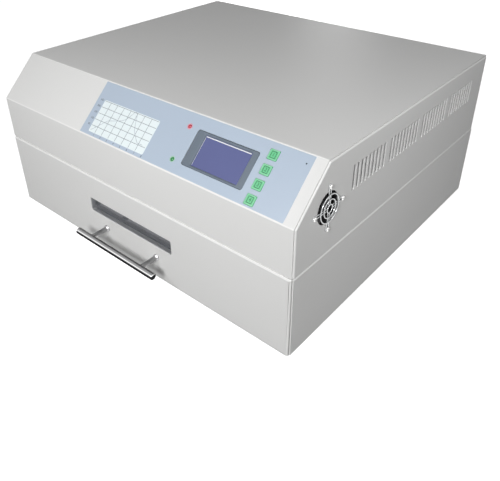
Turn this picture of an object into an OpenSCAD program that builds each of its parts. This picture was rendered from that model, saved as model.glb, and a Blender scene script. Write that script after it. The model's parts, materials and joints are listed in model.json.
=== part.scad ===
// Drawer-type infrared reflow oven: a folded sheet-metal cabinet, an insulated heating chamber
// with quartz tubes, and a drawer on ball slides. Millimetres, +Z up, front towards -Y.

/* [Cabinet] */
// Width of the cabinet
cab_w = 570; // [520:1:640]
// Depth of the cabinet
cab_d = 503; // [490:1:560]
// Height of the cabinet without its feet
cab_h = 244; // [240:1:280]
// Height of the lower body, up to the seam
base_h = 118.5; // [116:0.5:122]
// How far back the control slope runs
slope_run = 60.5; // [58:0.5:66]
// How far up the control slope rises
slope_rise = 58; // [55:0.5:60]
// Thickness of the cabinet's sheet steel
sheet = 1.5; // [1.2:0.1:1.8]
// Outer radius of the cabinet's bends
bend_r = 2; // [1.6:0.1:3.5]
// Width of the cabinet's inward flanges
flange = 12; // [10:0.5:13]
// Gap between the cover's shell and its side plates
cover_gap = 0.3; // [0.2:0.1:0.5]
// How far the cover's shell stops short of the cabinet's sides
shell_inset = 1.8; // [0.5:0.1:2.5]

/* [Feet] */
// Height of a rubber foot
foot_h = 10; // [6:0.5:16]
// Radius of a rubber foot
foot_r = 12; // [9:0.5:14]
// Distance of the feet from the cabinet's sides and rear
foot_inset = 48; // [40:1:60]

/* [Side vents] */
// Width of a vent slot
slot_w = 5.4; // [4:0.2:6]
// Height of a vent slot
slot_h = 34.5; // [24:0.5:36]
// Spacing of the vent slots
slot_pitch = 8.9; // [8.4:0.1:9]
// Slots in one group
slots_in_group = 9; // [7:1:9]
// Groups of slots on one side
slot_groups = 4; // [2:1:4]
// First slot's distance from the front
slot_y = 115; // [108:0.5:120]
// Distance of the slots' middle below the cabinet's top
slot_drop = 45; // [42:1:50]

/* [Cooling fans] */
// Side of a side fan's square frame
fan_side = 50; // [48:1:52]
// Hole spacing of a side fan
fan_pitch = 40; // [39:0.5:41]
// Depth of a side fan
fan_depth = 15; // [10:1:18]
// Distance of the side fans from the front
fan_y = 62; // [58:1:64]
// Distance of the side fans below the cabinet's top
fan_drop = 60.5; // [56:0.1:62]
// Free space behind the side fans
fan_room = 5; // [3:0.5:8]
// Radius of the side plates' fan openings
fan_opening_r = 21; // [19:0.5:22]
// Side of the exhaust fan's square frame
exhaust_side = 80; // [78:1:82]
// Hole spacing of the exhaust fan
exhaust_pitch = 71.5; // [70:0.5:72]
// Depth of the exhaust fan
exhaust_depth = 25; // [20:1:28]
// Radius of a guard's wire
wire_r = 0.8; // [0.7:0.1:1.1]
// How far a guard stands out from its panel
guard_stand = 3; // [2.8:0.1:6]

/* [Control panel] */
// Width of the front label
label_w = 355.5; // [320:0.5:365]
// Height of the front label along the slope
label_h = 80.5; // [76:0.5:81]
// Thickness of the front label
label_t = 0.5; // [0.3:0.1:0.8]
// Distance of the label's edge from the cabinet's right side
label_side = 17; // [14:0.1:22]
// Width of the display's bezel
lcd_w = 96.5; // [94:0.5:102]
// Height of the display's bezel
lcd_h = 48.5; // [46:0.5:49]
// Distance of the display's middle from the cabinet's right side
lcd_side = 132; // [129:0.1:134]
// Display's middle, up the slope
lcd_s = 40.3; // [39.5:0.1:41]
// Width of the display's window
view_w = 73; // [70:0.5:76]
// Height of the display's window
view_h = 41.5; // [38:0.5:42]
// How far the display's window lies to the right in its bezel
view_shift = 2; // [0:0.1:3]
// Width of a key
key_w = 13.4; // [11:0.1:14]
// Height of a key
key_h = 12.8; // [12:0.1:14]
// Spacing of the keys
key_pitch = 19; // [18:0.1:19]
// Distance of the keys' column from the cabinet's right side
key_side = 66.8; // [64:0.1:68]
// Lowest key's middle, up the slope
key_s = 10.4; // [10.2:0.1:12]
// Travel of a key
key_travel = 0.4; // [0.3:0.1:0.5]
// Radius of a status light
led_r = 2.5; // [1.5:0.1:3]
// Distance of the status lights' column from the cabinet's right side
led_side = 195.8; // [194:0.1:200]

/* [Drawer front] */
// How far the drawer's front stands proud of the cabinet
front_proud = 1; // [0.5:0.5:5]
// Depth of the drawer front's box
front_box = 23; // [22:1:30]
// Gap round the drawer's front
front_gap = 0.8; // [0.7:0.1:1.5]
// How far the drawer's front reaches below the cabinet's bottom
front_drop = 1.5; // [0:0.5:3]
// Width of the window
window_w = 174; // [150:1:190]
// Height of the window
window_h = 23; // [18:1:28]
// Height of the window's middle above the cabinet's bottom
window_z = 66.5; // [64:0.1:70]
// How deep the window's pane is set
window_recess = 8; // [6:0.5:12]
// Thickness of the window's pane
pane_t = 4; // [3:0.5:5]
// Length of the handle's bar
handle_len = 166; // [150:1:180]
// Radius of the handle's bar
handle_r = 5; // [4:0.1:6]
// Spacing of the handle's posts
post_pitch = 109; // [96:1:128]
// Radius of a handle post
post_r = 3.6; // [3.2:0.1:4]
// Distance from the drawer's front to the bar's axis
handle_reach = 31.2; // [26:0.2:36]
// Height of the handle above the cabinet's bottom
handle_z = 35.5; // [33:0.5:37]

/* [Drawer] */
// Width of the board tray
tray_w = 452; // [440:1:455]
// Height of the board tray's top above the cabinet's bottom
tray_z = 95; // [92:0.5:97]
// Thickness of the inner sheets
inner_sheet = 1; // [0.8:0.1:1.2]
// Height of the drawer pan's floor above the cabinet's bottom
pan_z = 30; // [28:1:33]
// How far the drawer opens
drawer_travel = 370; // [300:5:380]
// Columns of slots in the tray
tray_columns = 7; // [5:1:8]
// Spacing of the slots in the tray
tray_slot_pitch = 12; // [11:0.5:14]
// Width of a tray slot
tray_slot_w = 5; // [4:0.5:6]

/* [Slides] */
// Height of a ball slide
slide_h = 45; // [44:1:46]
// Thickness of a ball slide
slide_t = 12.7; // [12.5:0.1:13]
// Length of a ball slide
slide_len = 400; // [385:5:405]
// Wall of the slide's members
slide_wall = 1.2; // [1:0.1:1.3]
// Diameter of a slide's ball
ball_d = 3; // [2.6:0.1:3.2]
// Running clearance of a ball
ball_play = 0.03; // [0.02:0.01:0.05]
// Height of the slides' middle above the cabinet's bottom
slide_z = 42; // [41:0.5:44]

/* [Heating chamber] */
// Gap between the drawer's pan and the chamber's wall
chamber_gap = 4; // [3:0.5:6]
// Height from the top of the chamber's insulation to the cabinet's top
head_room = 63; // [61:1:68]
// Thickness of the insulation in front of the chamber and behind it
wool_t = 20; // [15:1:22]
// Free depth between the chamber's insulation and the rear panel
rear_room = 60.2; // [56:0.1:70]
// Height of the reflector
reflector_h = 8; // [5:0.5:10]
// Number of quartz tubes
tube_count = 6; // [4:1:6]
// Outer radius of a quartz tube
tube_r = 6; // [5:0.5:7]
// Wall of a quartz tube
tube_wall = 1.2; // [1:0.1:1.5]
// Height of the tubes above the tray
tube_rise = 40; // [38:1:42]
// Radius of a heating coil
coil_r = 2.4; // [1.8:0.1:3]

/* [Rear fittings] */
// Distance of the mains inlet from the cabinet's left side
inlet_side = 80; // [70:1:90]
// Mains inlet's height above the cabinet's bottom
inlet_z = 40; // [36:1:50]
// Power switch's height above the mains inlet
switch_rise = 42; // [38:1:46]
// Angle from off to on
rocker_swing = 16; // [12:1:20]
// How far the fuse cap stands out of the rear panel
fuse_cap_out = 11; // [8:0.5:14]

/* [Hidden] */
$fn = 48;

eps = 0.01;
touch_gap = 0.3;          // clearance between pieces that pass each other
screw_r = 1.5;            // shank of an M3 screw
screw_hole_r = 1.6;
screw_head_r = 2.8;
screw_head_h = 2;
drive_w = 0.8;            // width and depth of the slots in a screw's head

// Heights and depths of the cabinet, y = 0 at the cover's front face
floor_z = foot_h;
seam_z = foot_h + base_h;
top_z = foot_h + cab_h;
slope_z = top_z - slope_rise;
slope_angle = atan2(slope_rise, slope_run);
slope_len = norm([slope_run, slope_rise]);
side_lap = sheet + cover_gap;             // side plates and base walls lie this far inside the shell
inner_half = cab_w / 2 - sheet;
rear_inner_y = cab_d - sheet;             // inner face of the rear panel
rear_reach = max(guard_stand, fuse_cap_out);
front_reach = front_proud + handle_reach + handle_r;
slot_z = cab_h - slot_drop;
fan_z = cab_h - fan_drop;
mid_y = (cab_d + rear_reach - front_reach) / 2;   // middle of the whole object, front to back

// Drawer
front_face_y = -front_proud;
front_back_y = front_box - front_proud;
front_half = inner_half - front_gap;
front_bottom = floor_z - front_drop;
front_top = seam_z - front_gap;
front_flange_y = front_back_y + front_gap;        // the base's floor and front flanges start here
tray_top = floor_z + tray_z;
tray_lip = 3;
pan_half = tray_w / 2 + inner_sheet;
pan_front = front_back_y;
pan_floor = floor_z + pan_z;
ledge_d = 20;
tray_front = front_back_y + ledge_d;
jacket_back = rear_inner_y - rear_room;
liner_back = jacket_back - wool_t;
pan_gap = 8;                                      // between the drawer's pan and the liner's rear wall
pan_back = liner_back - pan_gap;
tray_back = pan_back - inner_sheet - touch_gap;
tray_d = tray_back - tray_front;
rail_w = 8;
rail_h = 10;

// Chamber
liner_half = pan_half + chamber_gap;              // inner face of the liner
liner_bottom = tray_top - 22;
liner_front = tray_front + 4;
jacket_half = inner_half - fan_depth - fan_room - inner_sheet;   // the insulation ends here
jacket_top = top_z - head_room;
jacket_front = liner_front - wool_t;
tube_z = tray_top + tube_rise;
tube_margin = 34;
tube_pitch = (liner_back - liner_front - 2 * tube_margin) / (tube_count - 1);
holder_len = 14;
bracket_h = 24;
holder_r = tube_r + 3;
reflector_z = tube_z + holder_r + 2;
ceiling = reflector_z + reflector_h;

// Slides: u is measured from the cabinet's wall towards the middle
slide_mid_z = floor_z + slide_z;
slide_back = front_flange_y + slide_len + 2;
slide_front = front_flange_y + 2;
slide_half = slide_h / 2;
ball_gap = ball_d + 2 * ball_play;
middle_half = slide_half - slide_wall - ball_gap;
inner_member_half = middle_half - slide_wall - ball_gap;
bearer_outer = inner_half - slide_t;
bearer_rise = 26;

// Exhaust
exhaust_z = (liner_bottom + ceiling) / 2 + 4;
exhaust_opening_r = exhaust_side / 2 - 3;
duct_half = exhaust_side / 2 - 4;

// Control panel, in the slope's own frame: x across, s up the slope, n out of it
label_x = cab_w / 2 - label_side - label_w / 2;
lcd_x = cab_w / 2 - lcd_side;
key_x = cab_w / 2 - key_side;
led_x = cab_w / 2 - led_side;
board_n = -sheet - 8;
board_t = 1.6;
board_x0 = led_x - 14;
board_x1 = key_x + 22;
label_s = slope_len / 2;
led_high = label_s + 21.8;
led_low = label_s - 24.5;

inlet_x = inlet_side - cab_w / 2;
switch_z = inlet_z + switch_rise;
fuse_x = inlet_x + 46;

// Geometry helpers

function unit(v) = v / norm(v);
function right_of(a, b) = let (d = unit(b - a)) [d[1], -d[0]];
function flip(list) = [for (i = [len(list) - 1:-1:0]) list[i]];

// The path moved by t to its right-hand side, corners mitred
function beside(path, t) = [
    for (i = [0:len(path) - 1])
        let (last = len(path) - 1,
             n1 = right_of(path[max(i - 1, 0)], path[max(i, 1)]),
             n2 = right_of(path[min(i, last - 1)], path[min(i + 1, last)]))
        path[i] + t * (n1 + n2) / (1 + n1 * n2)
];

// The corner p between a and b, as an arc of radius r
function corner(a, p, b, r, steps = 4) =
    r <= 0 ? [p] :
    let (u = unit(a - p), v = unit(b - p), half = acos(u * v) / 2,
         c = p + unit(u + v) * r / sin(half),
         from = p + u * r / tan(half) - c, to = p + v * r / tan(half) - c,
         a0 = atan2(from[1], from[0]), turn = atan2(to[1], to[0]) - a0,
         sweep = turn > 180 ? turn - 360 : turn < -180 ? turn + 360 : turn)
    [for (i = [0:steps]) c + r * [cos(a0 + sweep * i / steps), sin(a0 + sweep * i / steps)]];

function rounded(pts, radii) = [
    for (i = [0:len(pts) - 1])
        each corner(pts[(i + len(pts) - 1) % len(pts)], pts[i], pts[(i + 1) % len(pts)], radii[i])
];

// Folded sheet: path is its outer face, walked clockwise, with its thickness to the right
module folded(path, t, r) {
    outer = [for (i = [0:len(path) - 1]) i == 0 || i == len(path) - 1 ? 0 : r];
    inner = [for (q = outer) max(q - t, 0)];
    polygon(rounded(concat(path, flip(beside(path, t))), concat(outer, flip(inner))));
}

// A 2D shape drawn in (y, z), extruded from x0 to x1
module along_x(x0, x1)
    translate([x0, 0, 0]) rotate([90, 0, 90]) linear_extrude(x1 - x0) children();
// A 2D shape drawn in (x, z), extruded from y0 to y1
module along_y(y0, y1)
    translate([0, y1, 0]) rotate([90, 0, 0]) linear_extrude(y1 - y0) children();
module block(lo, hi) translate(lo) cube(hi - lo);
module both_sides() {
    children();
    mirror([1, 0, 0]) children();
}
module round_rect(w, h, r) polygon(rounded(
    [[-w / 2, -h / 2], [w / 2, -h / 2], [w / 2, h / 2], [-w / 2, h / 2]], [r, r, r, r]));
// Slope frame: x stays across, y runs up the slope, z points out of it
module on_slope(x = 0, s = 0, n = 0)
    translate([0, 0, slope_z]) rotate([slope_angle, 0, 0]) translate([x, s, n]) children();
// Rear panel's frame: x to the right seen from the front, y up, z out of the rear
module on_rear(x, z)
    translate([x, rear_inner_y, z]) rotate([-90, 0, 0]) mirror([0, 1, 0]) children();
// A side plate's frame: z points out of the side, side = 1 right or -1 left
module on_side(side, y, z)
    translate([side * inner_half, y, z]) rotate([0, side * 90, 0]) children();
module four_corners(pitch)
    for (x = [-1, 1], y = [-1, 1]) translate([x * pitch / 2, y * pitch / 2, 0]) children();

// Pan-head screw pointing down, its seat at z = 0
module screw(shank, r = screw_r) {
    head_r = r * screw_head_r / screw_r;
    difference() {
        cylinder(r1 = head_r, r2 = head_r * 0.75, h = screw_head_h);
        for (a = [0, 90]) rotate(a) translate([-head_r / 2, -drive_w / 2, screw_head_h - drive_w])
            cube([head_r, drive_w, 2]);
    }
    translate([0, 0, -shank]) cylinder(r = r, h = shank + eps);
}

// Cabinet

// Cover's profile in (y, z), at a depth below its outer faces; the rear and seam stay put
function cover_profile(depth, rear) =
    let (k = depth * (1 - sin(slope_angle)) / cos(slope_angle),
         y_top = (depth + cos(slope_angle) * (slope_rise - depth)) / sin(slope_angle))
    [[depth, seam_z], [depth, slope_z - k], [y_top, top_z - depth],
     [rear, top_z - depth], [rear, seam_z]];

module base_pan() color([0.85, 0.85, 0.82]) {
    half = cab_w / 2;
    path = [[half - flange, seam_z], [half, seam_z], [half, floor_z],
            [-half, floor_z], [-half, seam_z], [-half + flange, seam_z]];
    difference() {
        union() {
            along_y(side_lap, cab_d) folded(path, sheet, bend_r);
            both_sides() {
                // front flanges, above and below the slide
                for (z = [[floor_z + eps, slide_mid_z - slide_half - 2],
                          [slide_mid_z + slide_half + 2, seam_z - sheet]])
                    block([inner_half - flange, front_flange_y, z[0]],
                          [inner_half + eps, front_flange_y + sheet, z[1]]);
                block([inner_half - flange, rear_inner_y - sheet, floor_z + eps],
                      [inner_half + eps, rear_inner_y, seam_z - sheet / 2]);
            }
        }
        block([-inner_half, 0, floor_z - 1], [inner_half, front_flange_y, seam_z + 1]);
        block([-inner_half, rear_inner_y, floor_z - 1], [inner_half, cab_d + 1, seam_z + 1]);
        for (p = foot_places()) translate([p[0], p[1], floor_z - 1])
            cylinder(r = screw_hole_r, h = sheet + 2);
    }
}

module cover_shell() color([0.87, 0.87, 0.85]) {
    half = cab_w / 2 - shell_inset;
    flange_end = cab_w / 2 - flange - 3 * cover_gap;
    path = [[flange, seam_z], [0, seam_z], [0, slope_z], [slope_run, top_z],
            [rear_inner_y, top_z], [rear_inner_y, top_z - flange]];
    difference() {
        along_x(-half, half) folded(path, sheet, bend_r);
        on_slope(lcd_x, lcd_s, -sheet * 3)
            linear_extrude(sheet * 6) square([lcd_w + 1, lcd_h + 1], center = true);
        for (i = [0:3]) on_slope(key_x, key_s + i * key_pitch, -sheet * 3)
            linear_extrude(sheet * 6) square([key_w + 2 * touch_gap, key_h + 2 * touch_gap], center = true);
        for (s = [led_low, led_high]) on_slope(led_x, s, -sheet * 3)
            cylinder(r = led_r + touch_gap, h = sheet * 6);
        // the bottom flange stops short of the side plates' flanges
        both_sides() block([flange_end, sheet, seam_z - 1], [half + 1, flange + 1, seam_z + sheet + eps]);
        both_sides() block([flange_end, rear_inner_y - flange, top_z - flange - 1],
                           [half + 1, cab_d, top_z - sheet - cover_gap]);
    }
}

// Right-hand side plate: a shallow pan with inward flanges, vent slots and a fan opening
module cover_side() {
    difference() {
        union() {
            along_x(inner_half, cab_w / 2) difference() {
                polygon(cover_profile(side_lap, cab_d));
                for (g = [0:slot_groups - 1], i = [0:slots_in_group - 1])
                    translate([slot_y + (g * (slots_in_group + 1) + i) * slot_pitch, floor_z + slot_z])
                        square([slot_w, slot_h], center = true);
            }
            along_x(cab_w / 2 - flange, inner_half + eps) difference() {
                polygon(cover_profile(side_lap, rear_inner_y));
                inner = cover_profile(side_lap + sheet, rear_inner_y - sheet);
                polygon([for (p = inner) [p[0], max(p[1], seam_z + sheet)]]);
            }
        }
        on_side(1, fan_y, floor_z + fan_z) translate([0, 0, -1]) {
            cylinder(r = fan_opening_r, h = sheet + 2);
            rotate(45) four_corners(fan_pitch) cylinder(r = screw_hole_r, h = sheet + 2);
        }
    }
}
module cover_side_right() color([0.80, 0.80, 0.78]) cover_side();
module cover_side_left() color([0.80, 0.80, 0.78]) mirror([1, 0, 0]) cover_side();

function rear_screw_places() = [
    for (x = [-1, 1], z = [floor_z + 14, seam_z - 12, seam_z + 14, top_z - 24])
        [x * (inner_half - flange / 2), z],
    for (x = [-1, 0, 1]) [x * cab_w / 4, top_z - flange / 2 - sheet]
];

module rear_panel() color([0.82, 0.82, 0.80])
    difference() {
        block([-inner_half + cover_gap, rear_inner_y, floor_z + cover_gap],
              [inner_half - cover_gap, cab_d, top_z - cover_gap]);
        on_rear(0, exhaust_z) translate([0, 0, -1]) {
            cylinder(r = exhaust_opening_r, h = sheet + 2);
            four_corners(exhaust_pitch) cylinder(r = screw_hole_r, h = sheet + 2);
        }
        on_rear(inlet_x, floor_z + inlet_z) translate([0, 0, -1]) {
            linear_extrude(sheet + 2) square(inlet_body + [1, 1] * touch_gap, center = true);
            for (x = [-1, 1]) translate([x * inlet_screw_pitch / 2, 0, 0])
                cylinder(r = screw_hole_r, h = sheet + 2);
        }
        on_rear(inlet_x, floor_z + switch_z) translate([0, 0, -1])
            linear_extrude(sheet + 2) square(switch_body + [1, 1] * touch_gap, center = true);
        on_rear(fuse_x, floor_z + inlet_z) translate([0, 0, -1])
            cylinder(r = fuse_r + touch_gap / 2, h = sheet + 2);
        for (p = rear_screw_places()) on_rear(p[0], p[1]) translate([0, 0, -1])
            cylinder(r = screw_hole_r, h = sheet + 2);
    }

function foot_places() = [
    for (x = [-1, 1], y = [foot_inset, cab_d - foot_inset]) [x * (cab_w / 2 - foot_inset), y]
];

module rubber_feet() color([0.08, 0.08, 0.08])
    for (p = foot_places()) translate([p[0], p[1], 0]) difference() {
        union() {
            cylinder(r = foot_r, h = foot_h - 1.5);
            cylinder(r = foot_r - 1.5, h = foot_h);
        }
        translate([0, 0, -1]) cylinder(r = screw_head_r + 1, h = foot_h / 2 + 1);
        cylinder(r = screw_hole_r, h = foot_h + 1);
    }

module case_screws() color([0.75, 0.75, 0.75]) {
    for (p = foot_places()) translate([p[0], p[1], foot_h / 2])
        mirror([0, 0, 1]) screw(foot_h / 2 + sheet + 4);
    for (p = rear_screw_places()) on_rear(p[0], p[1]) translate([0, 0, sheet]) screw(sheet - eps);
}

// Heating chamber

// Angles along the base's walls that carry the liner
module chamber_brackets() color([0.72, 0.73, 0.74])
    both_sides() along_y(liner_front, liner_back) folded(
        [[liner_half, liner_bottom - sheet], [inner_half, liner_bottom - sheet],
         [inner_half, liner_bottom + bracket_h]],
        -sheet, 0);

// Liner of the chamber: roof, side walls and their foot flanges, a rear wall and a front skirt
module chamber_liner() color([0.70, 0.70, 0.68]) {
    out = liner_half + inner_sheet;
    foot_x = jacket_half - touch_gap;
    foot_top = liner_bottom + inner_sheet;
    difference() {
        union() {
            along_y(liner_front, liner_back) folded(
                [[-foot_x, foot_top], [-out, foot_top], [-out, ceiling + inner_sheet],
                 [out, ceiling + inner_sheet], [out, foot_top], [foot_x, foot_top]],
                inner_sheet, 0);
            block([-liner_half - eps, liner_back - inner_sheet, liner_bottom],
                  [liner_half + eps, liner_back, ceiling + eps]);
            block([-liner_half - eps, liner_front, seam_z + sheet],
                  [liner_half + eps, liner_front + inner_sheet, ceiling + eps]);
        }
        translate([0, liner_back + 1, exhaust_z]) rotate([90, 0, 0])
            cylinder(r = duct_half - 4, h = inner_sheet + 2);
        for (x = thermocouple_xs) translate([x, liner_back + 1, thermocouple_z]) rotate([90, 0, 0])
            cylinder(r = thermocouple_r + touch_gap, h = inner_sheet + 2);
    }
}

// Wool that fills the space between the liner and the jacket
module chamber_insulation() color([0.93, 0.92, 0.88]) {
    out = liner_half + inner_sheet;
    low = liner_bottom + inner_sheet;
    both_sides() block([out, liner_front, low], [jacket_half, liner_back, ceiling + inner_sheet]);
    block([-jacket_half, liner_front, ceiling + inner_sheet], [jacket_half, liner_back, jacket_top]);
    block([-jacket_half, jacket_front, seam_z + sheet + touch_gap], [jacket_half, liner_front, jacket_top]);
    difference() {
        block([-jacket_half, liner_back, low], [jacket_half, jacket_back, jacket_top]);
        translate([-duct_half - touch_gap, liner_back - 1, exhaust_z - duct_half - touch_gap])
            cube([2 * (duct_half + touch_gap), wool_t + 2, 2 * (duct_half + touch_gap)]);
        for (x = thermocouple_xs) translate([x, jacket_back + 1, thermocouple_z]) rotate([90, 0, 0])
            cylinder(r = gland_r + touch_gap, h = wool_t + 2);
    }
}

// Outer jacket over the insulation
module chamber_jacket() color([0.74, 0.75, 0.76]) {
    out = jacket_half + inner_sheet;
    up = jacket_top + inner_sheet;
    along_y(jacket_front - inner_sheet, jacket_back) folded(
        [[-out, liner_bottom], [-out, up], [out, up], [out, liner_bottom]], inner_sheet, 0);
    block([-jacket_half - eps, jacket_front - inner_sheet, seam_z + sheet + touch_gap],
          [jacket_half + eps, jacket_front, jacket_top + eps]);
}

// Shallow tray over the tubes, its rim against the roof
reflector_gap = 3;
module reflector() color([0.86, 0.86, 0.87]) {
    half = liner_half - reflector_gap;
    front = liner_front + inner_sheet + reflector_gap;
    back = liner_back - inner_sheet - reflector_gap;
    difference() {
        block([-half, front, reflector_z], [half, back, ceiling]);
        block([-half + inner_sheet, front + inner_sheet, reflector_z + inner_sheet],
              [half - inner_sheet, back - inner_sheet, ceiling + 1]);
    }
}

module each_tube() for (i = [0:tube_count - 1])
    translate([0, liner_front + tube_margin + i * tube_pitch, tube_z]) rotate([0, 90, 0]) children();

tube_half = liner_half - 4;
module quartz_tubes() color([0.92, 0.90, 0.86, 0.6])
    each_tube() difference() {
        cylinder(r = tube_r, h = 2 * tube_half, center = true);
        cylinder(r = tube_r - tube_wall, h = 2 * tube_half + 2, center = true);
    }

module heating_coils() color([0.55, 0.42, 0.34])
    each_tube() cylinder(r = coil_r, h = 2 * (liner_half - 3), center = true);

// Ceramic end holders: a socket for the tube and a seat for its coil
module tube_holders() color([0.95, 0.94, 0.90])
    both_sides() each_tube() difference() {
        translate([0, 0, liner_half - holder_len]) cylinder(r = holder_r, h = holder_len);
        translate([0, 0, liner_half - holder_len - 1]) cylinder(r = tube_r + 0.1, h = holder_len - 3 + 1);
    }

thermocouple_r = 1.5;
thermocouple_len = 110;
thermocouple_apart = 300;
thermocouple_xs = [-1, 1] * thermocouple_apart / 2;
thermocouple_rise = 27;   // above the tray
thermocouple_z = tray_top + thermocouple_rise;
gland_r = 5;
gland_h = 6;
module thermocouples() color([0.75, 0.75, 0.75])
    for (x = thermocouple_xs) translate([x, liner_back, thermocouple_z]) rotate([90, 0, 0]) {
        translate([0, 0, -gland_h]) cylinder(r = thermocouple_r, h = thermocouple_len);
        mirror([0, 0, 1]) cylinder(r = gland_r, h = gland_h, $fn = 6);
    }

// Square duct from the chamber's rear wall to the exhaust fan
module exhaust_duct() color([0.74, 0.75, 0.76])
    along_y(liner_back, rear_inner_y - exhaust_depth) translate([0, exhaust_z]) difference() {
        square(2 * duct_half, center = true);
        square(2 * (duct_half - inner_sheet), center = true);
    }

// Fans: z = 0 is the mounting face, the body reaches down from it

shaft_r = 1.5;
shaft_play = 0.05;
strut_w = 3;
blades = 7;
blade_pitch = 38;         // angle of a blade to the fan's disc
module fan_frame(side, pitch, depth) {
    bore = side / 2 - 2;
    hub = side * 0.2;
    difference() {
        union() {
            translate([0, 0, -depth]) linear_extrude(depth) difference() {
                round_rect(side, side, 3);
                circle(r = bore);
            }
            translate([0, 0, -depth]) cylinder(r = hub, h = 2);
            for (a = [0:90:270]) rotate(a + 20) translate([hub - 1, -strut_w / 2, -depth])
                cube([bore - hub + 1.6, strut_w, 2]);
        }
        four_corners(pitch) translate([0, 0, -depth - 1]) cylinder(r = screw_hole_r, h = depth + 2);
        translate([0, 0, -depth - 1]) cylinder(r = shaft_r + shaft_play, h = depth + 2);
    }
}
module fan_rotor(side, depth) {
    bore = side / 2 - 2;
    hub = side * 0.2;
    low = -depth + 3;
    translate([0, 0, low]) cylinder(r = hub, h = depth - 4.5);
    translate([0, 0, -depth]) cylinder(r = shaft_r, h = 3 + eps);
    intersection() {
        for (i = [1:blades]) rotate(i * 360 / blades) translate([0, 0, low + (depth - 4.5) / 2])
            rotate([blade_pitch, 0, 0]) translate([hub - 1, -depth, -0.6])
                cube([bore - hub + 4, 2 * depth, 1.2]);
        translate([0, 0, low + 0.5]) difference() {
            cylinder(r = bore - 1, h = depth - 5.5);
            translate([0, 0, -1]) cylinder(r = hub - 0.5, h = depth);
        }
    }
}
module wire(length) cylinder(r = wire_r, h = length, $fn = 8);
module wire_ring(r) rotate_extrude($fn = 32) translate([r, 0]) circle(r = wire_r, $fn = 8);
module finger_guard(pitch, rings) {
    reach = pitch / sqrt(2);
    eye = screw_r + wire_r + 0.3;
    ring_n = guard_stand - wire_r;
    arm_n = max(ring_n - 1.5 * wire_r, wire_r);
    for (r = rings) translate([0, 0, ring_n]) wire_ring(r);
    for (a = [45:90:315]) rotate(a) {
        bend = rings[len(rings) - 1] + 1;
        slant = [reach - eye, 0, wire_r] - [bend, 0, arm_n];
        translate([rings[0] - 1, 0, arm_n]) rotate([0, 90, 0]) wire(bend - rings[0] + 1);
        translate([bend, 0, arm_n]) rotate([0, atan2(slant[0], slant[2]), 0]) wire(norm(slant));
        translate([reach, 0, wire_r]) wire_ring(eye);
    }
}

module side_fan(side) on_side(side, fan_y, floor_z + fan_z) rotate(45) children();
module exhaust_fan() on_rear(0, exhaust_z) children();

module fan_frames() color([0.06, 0.06, 0.07]) {
    for (side = [-1, 1]) side_fan(side) fan_frame(fan_side, fan_pitch, fan_depth);
    exhaust_fan() fan_frame(exhaust_side, exhaust_pitch, exhaust_depth);
}
module side_fan_rotor_left() color([0.10, 0.10, 0.11]) side_fan(-1) fan_rotor(fan_side, fan_depth);
module side_fan_rotor_right() color([0.10, 0.10, 0.11]) side_fan(1) fan_rotor(fan_side, fan_depth);
module exhaust_fan_rotor() color([0.10, 0.10, 0.11]) exhaust_fan() fan_rotor(exhaust_side, exhaust_depth);

module fan_guards() color([0.85, 0.85, 0.86]) {
    for (side = [-1, 1]) side_fan(side) translate([0, 0, sheet])
        finger_guard(fan_pitch, fan_pitch * [0.13, 0.29, 0.45]);
    exhaust_fan() translate([0, 0, sheet])
        finger_guard(exhaust_pitch, exhaust_pitch * [0.10, 0.19, 0.28, 0.37, 0.46]);
}
module fan_screws() color([0.8, 0.8, 0.8]) {
    for (side = [-1, 1]) side_fan(side) four_corners(fan_pitch)
        translate([0, 0, sheet + 2 * wire_r]) screw(sheet + 2 * wire_r + fan_depth - 1);
    exhaust_fan() four_corners(exhaust_pitch)
        translate([0, 0, sheet + 2 * wire_r]) screw(sheet + 2 * wire_r + exhaust_depth - 1);
}

// Control panel

module front_label() color([0.70, 0.77, 0.86])
    on_slope(0, 0, 0) linear_extrude(label_t) difference() {
        translate([label_x, label_s]) square([label_w, label_h], center = true);
        translate([lcd_x, lcd_s]) round_rect(lcd_w + 2 * touch_gap, lcd_h + 2 * touch_gap, 3);
        for (i = [0:3]) translate([key_x, key_s + i * key_pitch])
            square([key_w + 2 * touch_gap, key_h + 2 * touch_gap], center = true);
        for (s = [led_low, led_high]) translate([led_x, s]) circle(r = led_r + touch_gap);
    }

lcd_back = -sheet - 6.5;
bezel_lip = 3.6;          // thickness of the bezel's lip over the screen
screen_t = 3;
module lcd_bezel() color([0.35, 0.38, 0.42])
    on_slope(lcd_x, lcd_s, 0) difference() {
        translate([0, 0, lcd_back]) linear_extrude(label_t - lcd_back) round_rect(lcd_w, lcd_h, 3);
        translate([view_shift, 0, lcd_back - 1]) linear_extrude(label_t - lcd_back - bezel_lip + 1)
            square([view_w + 6, view_h + 3], center = true);
        translate([view_shift, 0, lcd_back]) linear_extrude(20) square([view_w, view_h], center = true);
    }
module lcd_screen() color([0.33, 0.34, 0.58])
    on_slope(lcd_x + view_shift, lcd_s, label_t - bezel_lip - screen_t)
        linear_extrude(screen_t) square([view_w + 5.4, view_h + 2.4], center = true);

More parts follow.
